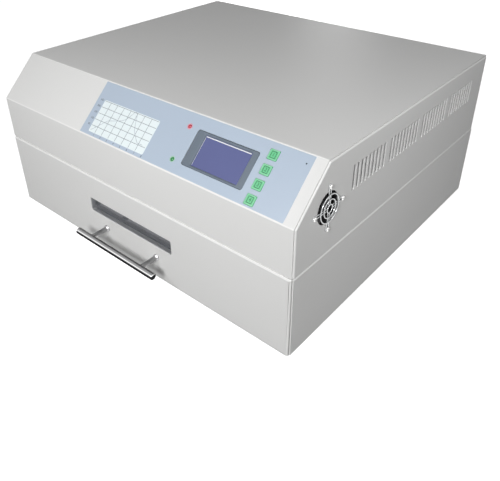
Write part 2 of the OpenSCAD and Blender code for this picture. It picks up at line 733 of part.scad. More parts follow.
chip_h = 2;
plug_h = 8;
module control_board() color([0.10, 0.35, 0.18])
    difference() {
        union() {
            on_slope(0, 0, board_n - board_t) linear_extrude(board_t)
                translate([board_x0, 4]) square([board_x1 - board_x0, slope_len - 14]);
            // the display's own stack on the board, and a chip and a plug under it
            on_slope(lcd_x, lcd_s, board_n - eps)
                linear_extrude(lcd_back - board_n + eps) square([lcd_w - 4, lcd_h - 4], center = true);
            on_slope(lcd_x, lcd_s - 10, board_n - board_t - chip_h)
                linear_extrude(chip_h + eps) square([14, 14], center = true);
            on_slope(lcd_x - 40, lcd_s - 14, board_n - board_t - plug_h)
                linear_extrude(plug_h + eps) square([24, 8], center = true);
        }
        for (p = standoff_places()) on_slope(p[0], p[1], board_n - board_t - 1)
            cylinder(r = screw_hole_r, h = board_t + 2);
    }
function standoff_places() = [for (x = [board_x0 + 5, board_x1 - 5], s = [9, slope_len - 15]) [x, s]];
module board_standoffs() color([0.8, 0.7, 0.35])
    for (p = standoff_places()) on_slope(p[0], p[1], board_n) {
        cylinder(r = 3, h = -sheet - board_n, $fn = 6);
        translate([0, 0, -board_t - 2]) cylinder(r = screw_r, h = board_t + 2 + eps);
    }

module status_light(s) on_slope(led_x, s, 0) {
    translate([0, 0, board_n]) cylinder(r = led_r, h = label_t + 0.3 - board_n);
    translate([0, 0, label_t + 0.3]) intersection() {
        translate([0, 0, -led_r]) sphere(r = led_r * sqrt(2));
        cylinder(r = led_r, h = led_r);
    }
}
module heating_light() color([0.85, 0.25, 0.28]) status_light(led_high);
module cooling_light() color([0.20, 0.62, 0.35]) status_light(led_low);

// A membrane key: pad, retaining flange and plunger
module key(i) color([0.38, 0.78, 0.50])
    on_slope(key_x, key_s + i * key_pitch, 0) {
        under = -sheet - 0.1;
        translate([0, 0, under - 0.9])
            linear_extrude(label_t + 0.4 - under + 0.9) square([key_w, key_h], center = true);
        translate([0, 0, under - 0.9])
            linear_extrude(0.9) square([key_w + 2.4, key_h + 2.4], center = true);
        translate([0, 0, under - 2.4]) cylinder(r = 2, h = 1.6);
    }
module key_1() key(3);
module key_2() key(2);
module key_3() key(1);
module key_4() key(0);
module key_switches() color([0.15, 0.15, 0.16])
    for (i = [0:3]) on_slope(key_x, key_s + i * key_pitch, board_n) {
        top = -sheet - 2.5 - key_travel - 0.1 - board_n;
        linear_extrude(top - 1.2) square(6, center = true);
        cylinder(r = 1.7, h = top);
    }

// Rear fittings

inlet_body = [27, 20];
inlet_flange = [50, 24];
inlet_screw_pitch = 40;
inlet_depth = 24;
inlet_cavity = [24.4, 17];
module mains_inlet() color([0.07, 0.07, 0.08])
    on_rear(inlet_x, floor_z + inlet_z) difference() {
        union() {
            translate([0, 0, sheet]) linear_extrude(2.5) round_rect(inlet_flange[0], inlet_flange[1], 3);
            translate([0, 0, -inlet_depth])
                linear_extrude(inlet_depth + sheet + 1) square(inlet_body, center = true);
        }
        translate([0, 0, sheet + 2.5 - 17])
            linear_extrude(18) round_rect(inlet_cavity[0], inlet_cavity[1], 2);
        for (x = [-1, 1]) translate([x * inlet_screw_pitch / 2, 0, 0])
            cylinder(r = screw_hole_r, h = 10);
        for (p = pin_places()) translate([p[0], p[1], -inlet_depth - 1])
            linear_extrude(inlet_depth) square([2, 4], center = true);
    }
function pin_places() = [[-7, -1.5], [7, -1.5], [0, 2.5]];
module inlet_pins() color([0.85, 0.85, 0.83])
    for (p = pin_places()) on_rear(inlet_x, floor_z + inlet_z)
        translate([p[0], p[1], -inlet_depth - 7])
            linear_extrude(inlet_depth + 4) square([2, 4], center = true);

fuse_r = 6;
fuse_lip = 2.5;           // how far the fuse holder's collar and nut stand past its body
module fuse_holder() color([0.08, 0.08, 0.09])
    on_rear(fuse_x, floor_z + inlet_z) difference() {
        union() {
            translate([0, 0, -28]) cylinder(r = fuse_r, h = 28 + sheet);
            translate([0, 0, sheet]) cylinder(r = fuse_r + fuse_lip, h = 2);
            translate([0, 0, -4]) cylinder(r = fuse_r + fuse_lip, h = 4, $fn = 6);
        }
        translate([0, 0, -24]) cylinder(r = 4.1, h = 40);
    }
module fuse_cap() color([0.10, 0.10, 0.11])
    on_rear(fuse_x, floor_z + inlet_z) {
        translate([0, 0, -14]) cylinder(r = 4, h = 14 + sheet + 2.2);
        difference() {
            translate([0, 0, sheet + 2.2]) cylinder(r = fuse_r + 0.5, h = fuse_cap_out - 2.2);
            translate([-fuse_r - 2, -0.8, sheet + fuse_cap_out - 1.5]) cube([2 * fuse_r + 4, 1.6, 3]);
        }
    }

switch_body = [28, 21.5];
switch_rim = [32, 25];
rocker = [24, 15];
rocker_axis_n = sheet + 0.5;
module power_switch_body() color([0.06, 0.06, 0.07])
    on_rear(inlet_x, floor_z + switch_z) difference() {
        union() {
            translate([0, 0, sheet]) linear_extrude(2) round_rect(switch_rim[0], switch_rim[1], 2);
            translate([0, 0, -22]) linear_extrude(22 + sheet + 1) square(switch_body, center = true);
        }
        translate([0, 0, -9]) linear_extrude(20) square(rocker + [1, 1] * 0.8, center = true);
        translate([0, 0, rocker_axis_n - 3]) rotate([90, 0, 0])
            cylinder(r = 1.5, h = rocker[1] + 3.2, center = true);
    }
// Rocker: a shallow V in profile, on a pin along the panel's height
module power_rocker() color([0.72, 0.10, 0.08])
    on_rear(inlet_x, floor_z + switch_z) translate([0, 0, rocker_axis_n - 3])
    rotate([0, rocker_swing / 2, 0]) {
        rotate([90, 0, 0]) linear_extrude(rocker[1], center = true)
            polygon([[-11, 3], [-10.4, 7.4], [0, 6], [10.4, 7.4], [11, 3], [4, -3.5], [-4, -3.5]]);
        rotate([90, 0, 0]) cylinder(r = 1.45, h = rocker[1] + 2.6, center = true);
    }

// Power parts on the cabinet's floor, behind the drawer
power_y = rear_inner_y - sheet - 4;
relay_w = 57;
relay_d = 34;
relay_base = 5;
relay_h = 18;
relay_pitch = 70;
terminal_r = 3.2;
terminal_h = 3;
supply_w = 160;
supply_d = 38;
supply_h = 36;
part_gap = 3;
supply_x = fuse_x + fuse_r + fuse_lip + part_gap;
vent_pitch = 8;
vent_edge = 6;
relay_room = 47.5;        // between the power supply and the first relay
relay_x = supply_x + supply_w + relay_room;
module solid_state_relays() color([0.12, 0.12, 0.13])
    for (i = [0, 1]) translate([relay_x + i * relay_pitch, power_y - relay_d, floor_z + sheet]) {
        cube([relay_w, relay_d, relay_base]);
        translate([sheet, sheet, relay_base - eps])
            cube([relay_w - 2 * sheet, relay_d - 2 * sheet, relay_h]);
        for (x = [1 / 7, 6 / 7]) translate([x * relay_w, relay_d / 2, relay_base + relay_h - 2 * eps])
            cylinder(r = terminal_r, h = terminal_h);
    }
module power_supply() color([0.70, 0.71, 0.72])
    translate([supply_x, power_y - supply_d, floor_z + sheet]) difference() {
        cube([supply_w, supply_d, supply_h]);
        for (x = [vent_edge:vent_pitch:supply_w - 2 * vent_edge])
            translate([x, vent_edge, supply_h - sheet])
                cube([vent_pitch / 2, supply_d - 2 * vent_edge, 2 * sheet]);
    }

// Ball slides

// A slide member's profile in (u, v): web at u0, channel lips towards u1, open towards u1
module channel(u0, u1, half, wall) {
    difference() {
        translate([min(u0, u1), -half]) square([abs(u1 - u0), 2 * half]);
        translate([u0 < u1 ? u0 + wall : u1 - 1, -half + wall])
            square([abs(u1 - u0) - wall + 1, 2 * (half - wall)]);
    }
}
// (u, v) drawn in (x, z) on the right-hand wall
module slide_frame() translate([inner_half, 0, slide_mid_z]) mirror([1, 0, 0]) children();
module slide_profile(y0, y1) slide_frame() along_y(y0, y1) children();

module slide_outers() color([0.20, 0.20, 0.21])
    both_sides() slide_profile(slide_front, slide_back)
        channel(0, slide_t - 1.5, slide_half, slide_wall);
// Middle member with its balls: the outer rows run in the rear half, the inner rows in the front half
ball_count = 8;
ball_pitch = 20;
module slide_middle() {
    slide_profile(slide_front, slide_back - 4)
        channel(slide_wall + 1, slide_t - 1, middle_half, slide_wall);
    slide_frame() for (v = [-1, 1], i = [0:ball_count - 1]) {
        outer_y = slide_back - 14 - i * ball_pitch;
        inner_y = slide_front + 8 + i * ball_pitch;
        translate([slide_t * 0.55, outer_y, v * (middle_half + ball_gap / 2)]) sphere(r = ball_d / 2);
        translate([slide_t * 0.62, inner_y, v * (inner_member_half + ball_gap / 2)]) sphere(r = ball_d / 2);
    }
}
module slide_middle_right() color([0.30, 0.30, 0.31]) slide_middle();
module slide_middle_left() color([0.30, 0.30, 0.31]) mirror([1, 0, 0]) slide_middle();
module slide_inners() color([0.22, 0.22, 0.23])
    both_sides() slide_profile(slide_front, slide_back - 6)
        translate([slide_t, 0]) mirror([1, 0])
            channel(0, slide_t - 2 * slide_wall - 1.8, inner_member_half, slide_wall);

// Drawer

window_mid = floor_z + window_z;
pane_y = front_face_y + window_recess;
frame_wall = 1.5;
frame_lip = 6;

// A rectangular window cut or tube in the (x, z) plane, grown by g on every side
module window_shape(g, r = 2)
    translate([0, window_mid]) round_rect(window_w + 2 * g, window_h + 2 * g, r + g);

module drawer_front() color([0.85, 0.85, 0.83])
    difference() {
        block([-front_half, front_face_y, front_bottom], [front_half, front_back_y, front_top]);
        block([-front_half + sheet, front_face_y + sheet, front_bottom + sheet],
              [front_half - sheet, front_back_y + 1, front_top - sheet]);
        along_y(front_face_y - 1, front_face_y + sheet + 1) window_shape(0);
        for (x = [-1, 1]) translate([x * post_pitch / 2, front_face_y - 1, floor_z + handle_z])
            rotate([-90, 0, 0]) cylinder(r = screw_hole_r + 0.4, h = sheet + 2);
    }

module drawer_front_back() color([0.72, 0.72, 0.70])
    along_y(front_back_y - inner_sheet, front_back_y) difference() {
        translate([-front_half + sheet, front_bottom + sheet])
            square([2 * (front_half - sheet), front_top - front_bottom - 2 * sheet]);
        window_shape(0);
    }

// Rectangular tube round the window: it carries the pane between two lips
module window_frame() color([0.62, 0.63, 0.64])
    difference() {
        union() {
            along_y(front_face_y + sheet, front_back_y - inner_sheet) window_shape(frame_wall);
            along_y(pane_y - 2, pane_y + pane_t + 2) window_shape(frame_lip + frame_wall);
        }
        along_y(front_face_y, front_back_y) window_shape(0);
        along_y(pane_y, pane_y + pane_t) window_shape(frame_lip);
    }
module window_pane() color([0.55, 0.60, 0.62, 0.5])
    along_y(pane_y + 0.02, pane_y + pane_t - 0.02) window_shape(frame_lip - touch_gap);

module drawer_insulation() color([0.93, 0.92, 0.88]) {
    difference() {
        along_y(front_face_y + sheet, front_back_y - inner_sheet) difference() {
            translate([-front_half + sheet, front_bottom + sheet])
                square([2 * (front_half - sheet), front_top - front_bottom - 2 * sheet]);
            window_shape(frame_wall);
        }
        along_y(pane_y - 2 - touch_gap, pane_y + pane_t + 2 + touch_gap)
            window_shape(frame_lip + frame_wall + touch_gap);
        for (x = [-1, 1]) translate([x * post_pitch / 2, front_face_y, floor_z + handle_z])
            rotate([-90, 0, 0]) cylinder(r = 6, h = sheet + 6);
    }
    block([-pan_half + inner_sheet, pan_front + inner_sheet, pan_floor + inner_sheet],
          [pan_half - inner_sheet, pan_back - inner_sheet, pan_floor + inner_sheet + wool_t]);
}

module handle_bar() color([0.78, 0.78, 0.78])
    translate([-handle_len / 2, front_face_y - handle_reach, floor_z + handle_z]) rotate([0, 90, 0]) {
        translate([0, 0, 1]) cylinder(r = handle_r, h = handle_len - 2);
        cylinder(r1 = handle_r - 1, r2 = handle_r, h = 1 + eps);
        translate([0, 0, handle_len - 1 - eps]) cylinder(r1 = handle_r, r2 = handle_r - 1, h = 1 + eps);
    }
post_thread = 10;         // length of a handle screw in its post
module handle_posts() color([0.78, 0.78, 0.78])
    for (x = [-1, 1]) translate([x * post_pitch / 2, front_face_y, floor_z + handle_z]) difference() {
        rotate([90, 0, 0]) cylinder(r = post_r, h = handle_reach);
        translate([0, -handle_reach, 0]) rotate([0, 90, 0])
            cylinder(r = handle_r, h = 4 * post_r, center = true);
        translate([0, 1, 0]) rotate([90, 0, 0]) cylinder(r = screw_r, h = post_thread + 3);
    }
module handle_screws() color([0.8, 0.8, 0.8])
    for (x = [-1, 1]) translate([x * post_pitch / 2, front_face_y + sheet, floor_z + handle_z])
        rotate([-90, 0, 0]) screw(sheet + post_thread, screw_r - 0.05);

// Sheet pan that closes the chamber from below
module drawer_pan() color([0.22, 0.17, 0.16])
    difference() {
        block([-pan_half, pan_front, pan_floor], [pan_half, pan_back, tray_top + tray_lip]);
        block([-pan_half + inner_sheet, pan_front + inner_sheet, pan_floor + inner_sheet],
              [pan_half - inner_sheet, pan_back - inner_sheet, tray_top + tray_lip + 1]);
        along_y(pan_front - 1, pan_front + inner_sheet + 1) window_shape(0);
        along_y(pan_front - 1, pan_front + inner_sheet + 1)
            translate([-pan_half - 1, tray_top - inner_sheet]) square([2 * pan_half + 2, 2 * tray_lip + 1]);
    }

// Channels that join the pan's sides to the slides' inner members
module drawer_bearers() color([0.45, 0.45, 0.46]) {
    low = slide_mid_z - inner_member_half;
    both_sides() along_y(pan_front, slide_back - 20) folded(
        [[bearer_outer, low + bearer_rise], [bearer_outer, low],
         [pan_half, low], [pan_half, low + bearer_rise]],
        inner_sheet, 0);
}

rail_in = tray_w / 2;
module tray_rails() color([0.35, 0.35, 0.36])
    both_sides() along_y(tray_front, tray_back) folded(
        [[rail_in - rail_w, tray_top - inner_sheet], [rail_in, tray_top - inner_sheet],
         [rail_in, tray_top - inner_sheet - rail_h]],
        inner_sheet, 0);

// Columns of slots, 8 mm of sheet between them
column_w = (tray_w - 2 * rail_w - 4) / tray_columns;
slot_length = column_w - 8;
function slot_left(c) = -tray_w / 2 + rail_w + 2 + c * column_w + 4;

// Slotted plate that the boards lie on
module tray_plate() color([0.12, 0.12, 0.12])
    translate([0, 0, tray_top - inner_sheet]) linear_extrude(inner_sheet) difference() {
        translate([-tray_w / 2 + touch_gap, tray_front]) square([tray_w - 2 * touch_gap, tray_d]);
        rows = floor((tray_d - 20) / tray_slot_pitch);
        for (c = [0:tray_columns - 1], i = [0:rows - 1])
            translate([slot_left(c), tray_front + 12 + i * tray_slot_pitch])
                square([slot_length, tray_slot_w]);
    }

// Light sheet between the drawer's front and the tray, with one row of slots
ledge_h = 8;              // height of the ledge's upstand
module front_ledge() color([0.80, 0.80, 0.78]) {
    half = tray_w / 2 - touch_gap;
    difference() {
        union() {
            block([-half, front_back_y, tray_top - inner_sheet], [half, tray_front, tray_top]);
            block([-half, front_back_y, tray_top - eps],
                  [half, front_back_y + inner_sheet, tray_top + ledge_h]);
        }
        for (c = [0:tray_columns - 1])
            translate([slot_left(c), front_back_y + 9, tray_top - 2]) cube([slot_length, tray_slot_w, 4]);
    }
}

// Assembly

module shown(name) translate([0, -mid_y, 0]) children();

shown("base_pan") base_pan();
shown("cover_shell") cover_shell();
shown("cover_side_left") cover_side_left();
shown("cover_side_right") cover_side_right();
shown("rear_panel") rear_panel();
shown("rubber_feet") rubber_feet();
shown("case_screws") case_screws();
shown("chamber_brackets") chamber_brackets();
shown("chamber_liner") chamber_liner();
shown("chamber_insulation") chamber_insulation();
shown("chamber_jacket") chamber_jacket();
shown("reflector") reflector();
shown("quartz_tubes") quartz_tubes();
shown("heating_coils") heating_coils();
shown("tube_holders") tube_holders();
shown("thermocouples") thermocouples();
shown("exhaust_duct") exhaust_duct();
shown("fan_frames") fan_frames();
shown("fan_guards") fan_guards();
shown("fan_screws") fan_screws();
shown("side_fan_rotor_left") side_fan_rotor_left();
shown("side_fan_rotor_right") side_fan_rotor_right();
shown("exhaust_fan_rotor") exhaust_fan_rotor();
shown("front_label") front_label();
shown("lcd_bezel") lcd_bezel();
shown("lcd_screen") lcd_screen();
shown("control_board") control_board();
shown("board_standoffs") board_standoffs();
shown("heating_light") heating_light();
shown("cooling_light") cooling_light();
shown("key_1") key_1();
shown("key_2") key_2();
shown("key_3") key_3();
shown("key_4") key_4();
shown("key_switches") key_switches();
shown("mains_inlet") mains_inlet();
shown("inlet_pins") inlet_pins();
shown("fuse_holder") fuse_holder();
shown("fuse_cap") fuse_cap();
shown("power_switch_body") power_switch_body();
shown("power_rocker") power_rocker();
shown("solid_state_relays") solid_state_relays();
shown("power_supply") power_supply();
shown("slide_outers") slide_outers();
shown("slide_middle_left") slide_middle_left();
shown("slide_middle_right") slide_middle_right();
shown("slide_inners") slide_inners();
shown("drawer_front") drawer_front();
shown("drawer_front_back") drawer_front_back();
shown("drawer_insulation") drawer_insulation();
shown("window_frame") window_frame();
shown("window_pane") window_pane();
shown("handle_bar") handle_bar();
shown("handle_posts") handle_posts();
shown("handle_screws") handle_screws();
shown("drawer_pan") drawer_pan();
shown("drawer_bearers") drawer_bearers();
shown("tray_rails") tray_rails();
shown("tray_plate") tray_plate();
shown("front_ledge") front_ledge();
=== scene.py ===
# Drawer-type reflow oven: the finish of every piece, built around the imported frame.
import json
import math

import bmesh
import bpy
from mathutils import Matrix, Vector
from mathutils.geometry import tessellate_polygon

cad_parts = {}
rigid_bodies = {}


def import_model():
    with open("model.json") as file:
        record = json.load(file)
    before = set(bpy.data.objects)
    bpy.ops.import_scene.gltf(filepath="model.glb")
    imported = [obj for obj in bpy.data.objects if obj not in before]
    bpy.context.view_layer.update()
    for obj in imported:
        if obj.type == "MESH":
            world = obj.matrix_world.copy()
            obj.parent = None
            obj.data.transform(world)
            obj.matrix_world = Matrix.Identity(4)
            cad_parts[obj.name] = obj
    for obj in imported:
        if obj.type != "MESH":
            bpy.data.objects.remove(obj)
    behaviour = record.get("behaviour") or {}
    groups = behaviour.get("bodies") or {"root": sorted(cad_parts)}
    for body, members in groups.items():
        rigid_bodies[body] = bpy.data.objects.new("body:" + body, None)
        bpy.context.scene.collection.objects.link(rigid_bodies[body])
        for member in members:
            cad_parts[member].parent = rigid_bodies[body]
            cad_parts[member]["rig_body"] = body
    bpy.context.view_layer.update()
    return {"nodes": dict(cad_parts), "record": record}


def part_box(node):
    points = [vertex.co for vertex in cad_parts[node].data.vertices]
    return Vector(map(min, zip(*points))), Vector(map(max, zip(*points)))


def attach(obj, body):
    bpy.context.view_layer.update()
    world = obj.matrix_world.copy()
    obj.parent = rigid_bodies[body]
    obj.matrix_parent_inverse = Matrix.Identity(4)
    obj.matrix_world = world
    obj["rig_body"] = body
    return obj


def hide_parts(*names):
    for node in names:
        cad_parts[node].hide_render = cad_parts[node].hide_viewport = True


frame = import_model()
mm = 0.001
print("frame loaded:", len(frame["nodes"]), "nodes")

# Node trees


class Value:  # one output socket, usable in Python expressions
    def __init__(self, tree, socket):
        self.tree, self.socket = tree, socket

    def math(self, operation, *others):
        inputs = dict(enumerate(others, start=1))
        return self.tree.add("ShaderNodeMath", {0: self, **inputs}, operation=operation)

    def reflected(self, operation, other):  # for a plain number on the left of the operator
        return self.tree.add("ShaderNodeMath", {0: other, 1: self}, operation=operation)

    def __add__(self, other):
        return self.math("ADD", other)

    def __mul__(self, other):
        return self.math("MULTIPLY", other)

    def __sub__(self, other):
        return self.math("SUBTRACT", other)

    def __truediv__(self, other):
        return self.math("DIVIDE", other)

    def __rsub__(self, other):
        return self.reflected("SUBTRACT", other)

    def __rtruediv__(self, other):
        return self.reflected("DIVIDE", other)

    __radd__ = __add__
    __rmul__ = __mul__

    def clamped(self):
        return self.math("MAXIMUM", 0.0).math("MINIMUM", 1.0)

    def smooth(self, start, end):  # 0 before start, 1 after end
        inputs = {"Value": self, 1: start, 2: end}
        return self.tree.add("ShaderNodeMapRange", inputs, interpolation_type="SMOOTHSTEP")


class Tree:  # adds nodes to a shader tree or a geometry tree
    def __init__(self, nodeTree):
        self.nodeTree = nodeTree

    def add(self, kind, inputs=None, out=0, **settings):  # out: which output, or "all" of them by name
        node = self.nodeTree.nodes.new(kind)
        for key, value in settings.items():
            if key == "stops":
                self.setStops(node.color_ramp, value)
            else:
                setattr(node, key, value)
        for key, value in (inputs or {}).items():
            values = value if isinstance(value, list) else [value]
            if not isinstance(values[0], Value):
                node.inputs[key].default_value = value
                continue
            for source in values:
                self.nodeTree.links.new(source.socket, node.inputs[key])
        if out == "all":
            return {socket.name: Value(self, socket) for socket in node.outputs if socket.name}
        return Value(self, node.outputs[out]) if len(node.outputs) else node

    def setStops(self, ramp, stops):
        while len(ramp.elements) > len(stops):
            ramp.elements.remove(ramp.elements[-1])
        while len(ramp.elements) < len(stops):
            ramp.elements.new(1.0)
        for element, (place, colour) in zip(ramp.elements, stops):
            element.position, element.color = place, colour


class Surface(Tree):  # a material built round one Principled shader
    def __init__(self, name):
        self.material = bpy.data.materials.new(name)
        self.material.use_nodes = True
        super().__init__(self.material.node_tree)
        self.nodeTree.nodes.clear()
        self.place = self.add("ShaderNodeTexCoord", out=3)

    def stretched(self, scale):
        return self.add("ShaderNodeMapping", {"Vector": self.place, "Scale": scale})

    def noise(self, scale, detail=3.0, roughness=0.5, place=None):
        inputs = {"Vector": place or self.place, "Scale": scale, "Detail": detail, "Roughness": roughness}
        return self.add("ShaderNodeTexNoise", inputs)

    def axes(self):
        return self.add("ShaderNodeSeparateXYZ", {0: self.place}, out="all").values()

    def mix(self, factor, first, second):
        first, second = [c if isinstance(c, Value) else (*c, 1.0) for c in (first, second)]
        return self.add("ShaderNodeMix", {0: factor, 6: first, 7: second}, 2, data_type="RGBA")

    def tones(self, factor, colour, dark, light):  # between a darker and a lighter tone of one colour
        return self.mix(factor, shade(colour, dark), shade(colour, light))

    def bump(self, height, distance):
        return self.add("ShaderNodeBump", {"Height": height, "Distance": distance, "Strength": 1.0})

    def finish(self, colour, roughness, **more):
        base = colour if isinstance(colour, Value) else (*colour, 1.0)
        inputs = {"Base Color": base, "Roughness": roughness}
        inputs.update({key.replace("_", " "): value for key, value in more.items()})
        shader = self.add("ShaderNodeBsdfPrincipled", inputs)
        self.add("ShaderNodeOutputMaterial", {"Surface": shader})
        return self.material


def middleOf(node):
    low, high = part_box(node)
    return (low + high) / 2


def shade(colour, factor):
    return tuple(channel * factor for channel in colour)


# Materials


def powderCoat(name, colour):
    s = Surface(name)
    cloud = s.noise(3.5, 2.0)
    speck = s.noise(2600.0, 1.0)
    peel = s.noise(620.0, 2.0)
    tone = s.tones(cloud, colour, 0.97, 1.02)
    tone = s.mix(speck.smooth(0.62, 0.72) * 0.10, tone, shade(colour, 0.62))
    height = peel * 0.7 + speck * 0.3
    return s.finish(tone, cloud * 0.06 + speck * 0.05 + 0.42, Normal=s.bump(height, 0.00006),
                    Specular_IOR_Level=0.32)


def rolledSheet(name, colour, roughness, stain=0.0):  # stain: how far it has browned in the heat
    s = Surface(name)
    grain = s.noise(6.0, 4.0, 0.6, s.stretched((4.0, 260.0, 260.0)))  # drawn out along x, as rolled
    cloud = s.noise(14.0, 4.0, 0.6)
    tone = s.tones(grain, colour, 0.86, 1.08)
    tone = s.mix(cloud.smooth(0.45, 0.75) * stain, tone, (0.3, 0.2, 0.12))
    rough = grain * 0.16 + cloud * 0.08 + (roughness - 0.12)
    return s.finish(tone, rough, Metallic=1.0, Normal=s.bump(grain, 0.00003))


def brightPlate(name, colour, roughness):
    s = Surface(name)
    haze = s.noise(38.0, 3.0)
    tone = s.tones(haze, colour, 0.97, 1.02)
    return s.finish(tone, haze * 0.07 + roughness - 0.03, Metallic=1.0,
                    Normal=s.bump(s.noise(300.0), 0.00001))


def mouldedPlastic(name, colour, roughness=0.5, grainSize=1500.0, grainDepth=0.00004):
    s = Surface(name)
    grain = s.noise(grainSize, 2.0)
    cloud = s.noise(22.0, 2.0)
    tone = s.tones(cloud, colour, 0.90, 1.08)
    return s.finish(tone, grain * 0.14 + cloud * 0.05 + roughness - 0.1,
                    Normal=s.bump(grain, grainDepth))


def printedFilm(name, colour):
    s = Surface(name)
    grain = s.noise(1900.0, 2.0)
    cloud = s.noise(9.0, 2.0)
    tone = s.tones(cloud, colour, 0.97, 1.03)
    return s.finish(tone, grain * 0.10 + 0.30, Normal=s.bump(grain, 0.00002),
                    Coat_Weight=cloud * 0.05 + 0.12)


def ink(name, colour, roughness=0.42):
    s = Surface(name)
    dots = s.noise(2400.0, 1.0)
    return s.finish(s.tones(dots, colour, 0.9, 1.1), roughness)


def ceramicFibre(name, colour):
    s = Surface(name)
    fibre = s.noise(240.0, 5.0, 0.7, s.stretched((1.0, 0.35, 1.0)))
    lump = s.noise(26.0, 3.0)
    tone = s.tones(fibre, colour, 0.82, 1.04)
    return s.finish(tone, 0.95, Normal=s.bump(fibre * 0.5 + lump * 0.5, 0.0006))


def glazeless(name, colour):
    s = Surface(name)
    grain = s.noise(900.0, 3.0)
    tone = s.tones(grain, colour, 0.93, 1.03)
    return s.finish(tone, 0.62, Normal=s.bump(grain, 0.00006))


def clearPane(name, tint, roughness):
    s = Surface(name)
    haze = s.noise(30.0, 3.0)
    return s.finish(tint, haze * 0.05 + roughness, Transmission_Weight=0.92, IOR=1.47)


def liquidCrystal(name, colour):
    s = Surface(name)
    across, _, up = s.axes()
    cloud = s.noise(20.0, 2.0)
    glow = s.tones(cloud, colour, 0.93, 1.08)
    columns = (across * 1750.0).math("FRACT").smooth(0.0, 0.16)
    rows = (up * 2300.0).math("FRACT").smooth(0.0, 0.16)
    tone = s.mix(columns * rows * 0.10 + 0.90, shade(colour, 0.8), glow)
    return s.finish(tone, 0.22, Coat_Weight=cloud * 0.04 + 0.25)


def solderMask(name, colour):
    s = Surface(name)
    inputs = {"Vector": s.place, "Scale": 260.0}
    tracks = s.add("ShaderNodeTexVoronoi", inputs, feature="DISTANCE_TO_EDGE")
    tone = s.mix(tracks.smooth(0.03, 0.08), shade(colour, 2.2), colour)
    return s.finish(tone, 0.32, Normal=s.bump(tracks.smooth(0.0, 0.1), 0.00003))


def heatedSteel(name, colour):
    s = Surface(name)
    bloom = s.noise(9.0, 5.0, 0.62)
    streak = s.noise(5.0, 4.0, 0.6, s.stretched((30.0, 30.0, 3.0)))
    tone = s.mix(bloom.smooth(0.35, 0.7), colour, shade(colour, 2.1))
    tone = s.mix(streak.smooth(0.55, 0.75) * 0.4, tone, shade(colour, 0.45))
    return s.finish(tone, bloom * 0.3 + 0.28, Metallic=0.75, Normal=s.bump(streak, 0.00008))


# The bands paint the bar's reflections into its colour: a dark painted shade underneath, a painted white
# highlight near the top, grey above.
handleBar = {
    "radius": 5.0 * mm, "edge": 1.1 * mm,
    "paintedBands": {0.66: (0.02, 0.02, 0.021), 0.74: (0.06, 0.06, 0.062), 0.79: (0.90, 0.90, 0.90),
              0.86: (0.90, 0.90, 0.90), 0.92: (0.40, 0.40, 0.405), 0.99: (0.30, 0.30, 0.305)},
}


def barChrome(name):  # painted reflection by share of the bar's height: painted shade below, a painted white highlight near the top
    s = Surface(name)
    _, _, up = s.axes()
    radius = handleBar["radius"]
    height = (up - (middleOf("handle_bar").z - radius)) / (2 * radius)
    stops = [(share, (*tone, 1)) for share, tone in handleBar["paintedBands"].items()]
    tone = s.add("ShaderNodeValToRGB", {0: height}, stops=stops)
    haze = s.noise(38.0, 3.0)
    return s.finish(tone, haze * 0.07 + 0.07, Metallic=1.0, Specular_Tint=(0.25, 0.25, 0.25, 1),
                    Normal=s.bump(s.noise(300.0), 0.00001))


def paint(name, colour, roughness):
    s = Surface(name)
    peel = s.noise(700.0, 2.0)
    wear = s.noise(18.0, 4.0, 0.65)
    tone = s.tones(wear, colour, 0.8, 1.5)
    return s.finish(tone, wear * 0.2 + roughness - 0.1, Normal=s.bump(peel, 0.00005), Metallic=0.15)


finishes = {
    "cabinet_paint": powderCoat("cabinetPaint", (0.80, 0.80, 0.79)),
    "zinc_sheet": rolledSheet("zincSheet", (0.70, 0.71, 0.72), 0.42),
    "chamber_steel": rolledSheet("chamberSteel", (0.60, 0.58, 0.54), 0.36, stain=0.45),
    "mirror_sheet": rolledSheet("mirrorSheet", (0.86, 0.86, 0.87), 0.2),
    "steel_screws": brightPlate("screwPlating", (0.74, 0.74, 0.73), 0.24),
    "wool": ceramicFibre("ceramicWool", (0.88, 0.86, 0.80)),
    "quartz": clearPane("frostedQuartz", (0.93, 0.92, 0.89), 0.28),
    "resistance_wire": rolledSheet("resistanceWire", (0.35, 0.28, 0.22), 0.45),
    "ceramic": glazeless("ceramicHolder", (0.90, 0.88, 0.83)),
    "black_plastic": mouldedPlastic("blackPlastic", (0.022, 0.022, 0.024)),
    "bright_wire": brightPlate("brightWire", (0.50, 0.51, 0.515), 0.24),
    "label_film": printedFilm("labelFilm", (0.455, 0.54, 0.65)),
    "bezel_plastic": mouldedPlastic("bezelPlastic", (0.135, 0.170, 0.212), 0.42),
    "screen": liquidCrystal("liquidCrystal", (0.095, 0.112, 0.290)),
    "circuit_board": solderMask("solderMask", (0.01, 0.10, 0.035)),
    "brass": rolledSheet("turnedBrass", (0.72, 0.53, 0.22), 0.3),
    "red_lens": mouldedPlastic("redLens", (0.50, 0.045, 0.07), 0.25, 400.0, 0.00001),
    "green_lens": mouldedPlastic("greenLens", (0.03, 0.27, 0.08), 0.25, 400.0, 0.00001),
    "key_green": printedFilm("keyGreen", (0.135, 0.570, 0.270)),
    "rocker_red": mouldedPlastic("rockerRed", (0.42, 0.012, 0.012), 0.28, 500.0, 0.00001),
    "slide_black": paint("slideBlack", (0.016, 0.016, 0.018), 0.36),
    "window_glass": clearPane("windowGlass", (0.42, 0.44, 0.50), 0.02),
    "handle_chrome": barChrome("handleChrome"),
    "heated_steel": heatedSteel("heatedSteel", (0.045, 0.024, 0.018)),
    "bearer_steel": rolledSheet("bearerSteel", (0.30, 0.30, 0.31), 0.4),
    "tray_black": paint("trayBlack", (0.012, 0.012, 0.012), 0.46),
    "foot_rubber": mouldedPlastic("footRubber", (0.016, 0.016, 0.016), 0.72, 900.0),
}
inkDark = ink("inkDark", (0.035, 0.055, 0.085))
inkGrid = ink("inkGrid", (0.13, 0.16, 0.20))
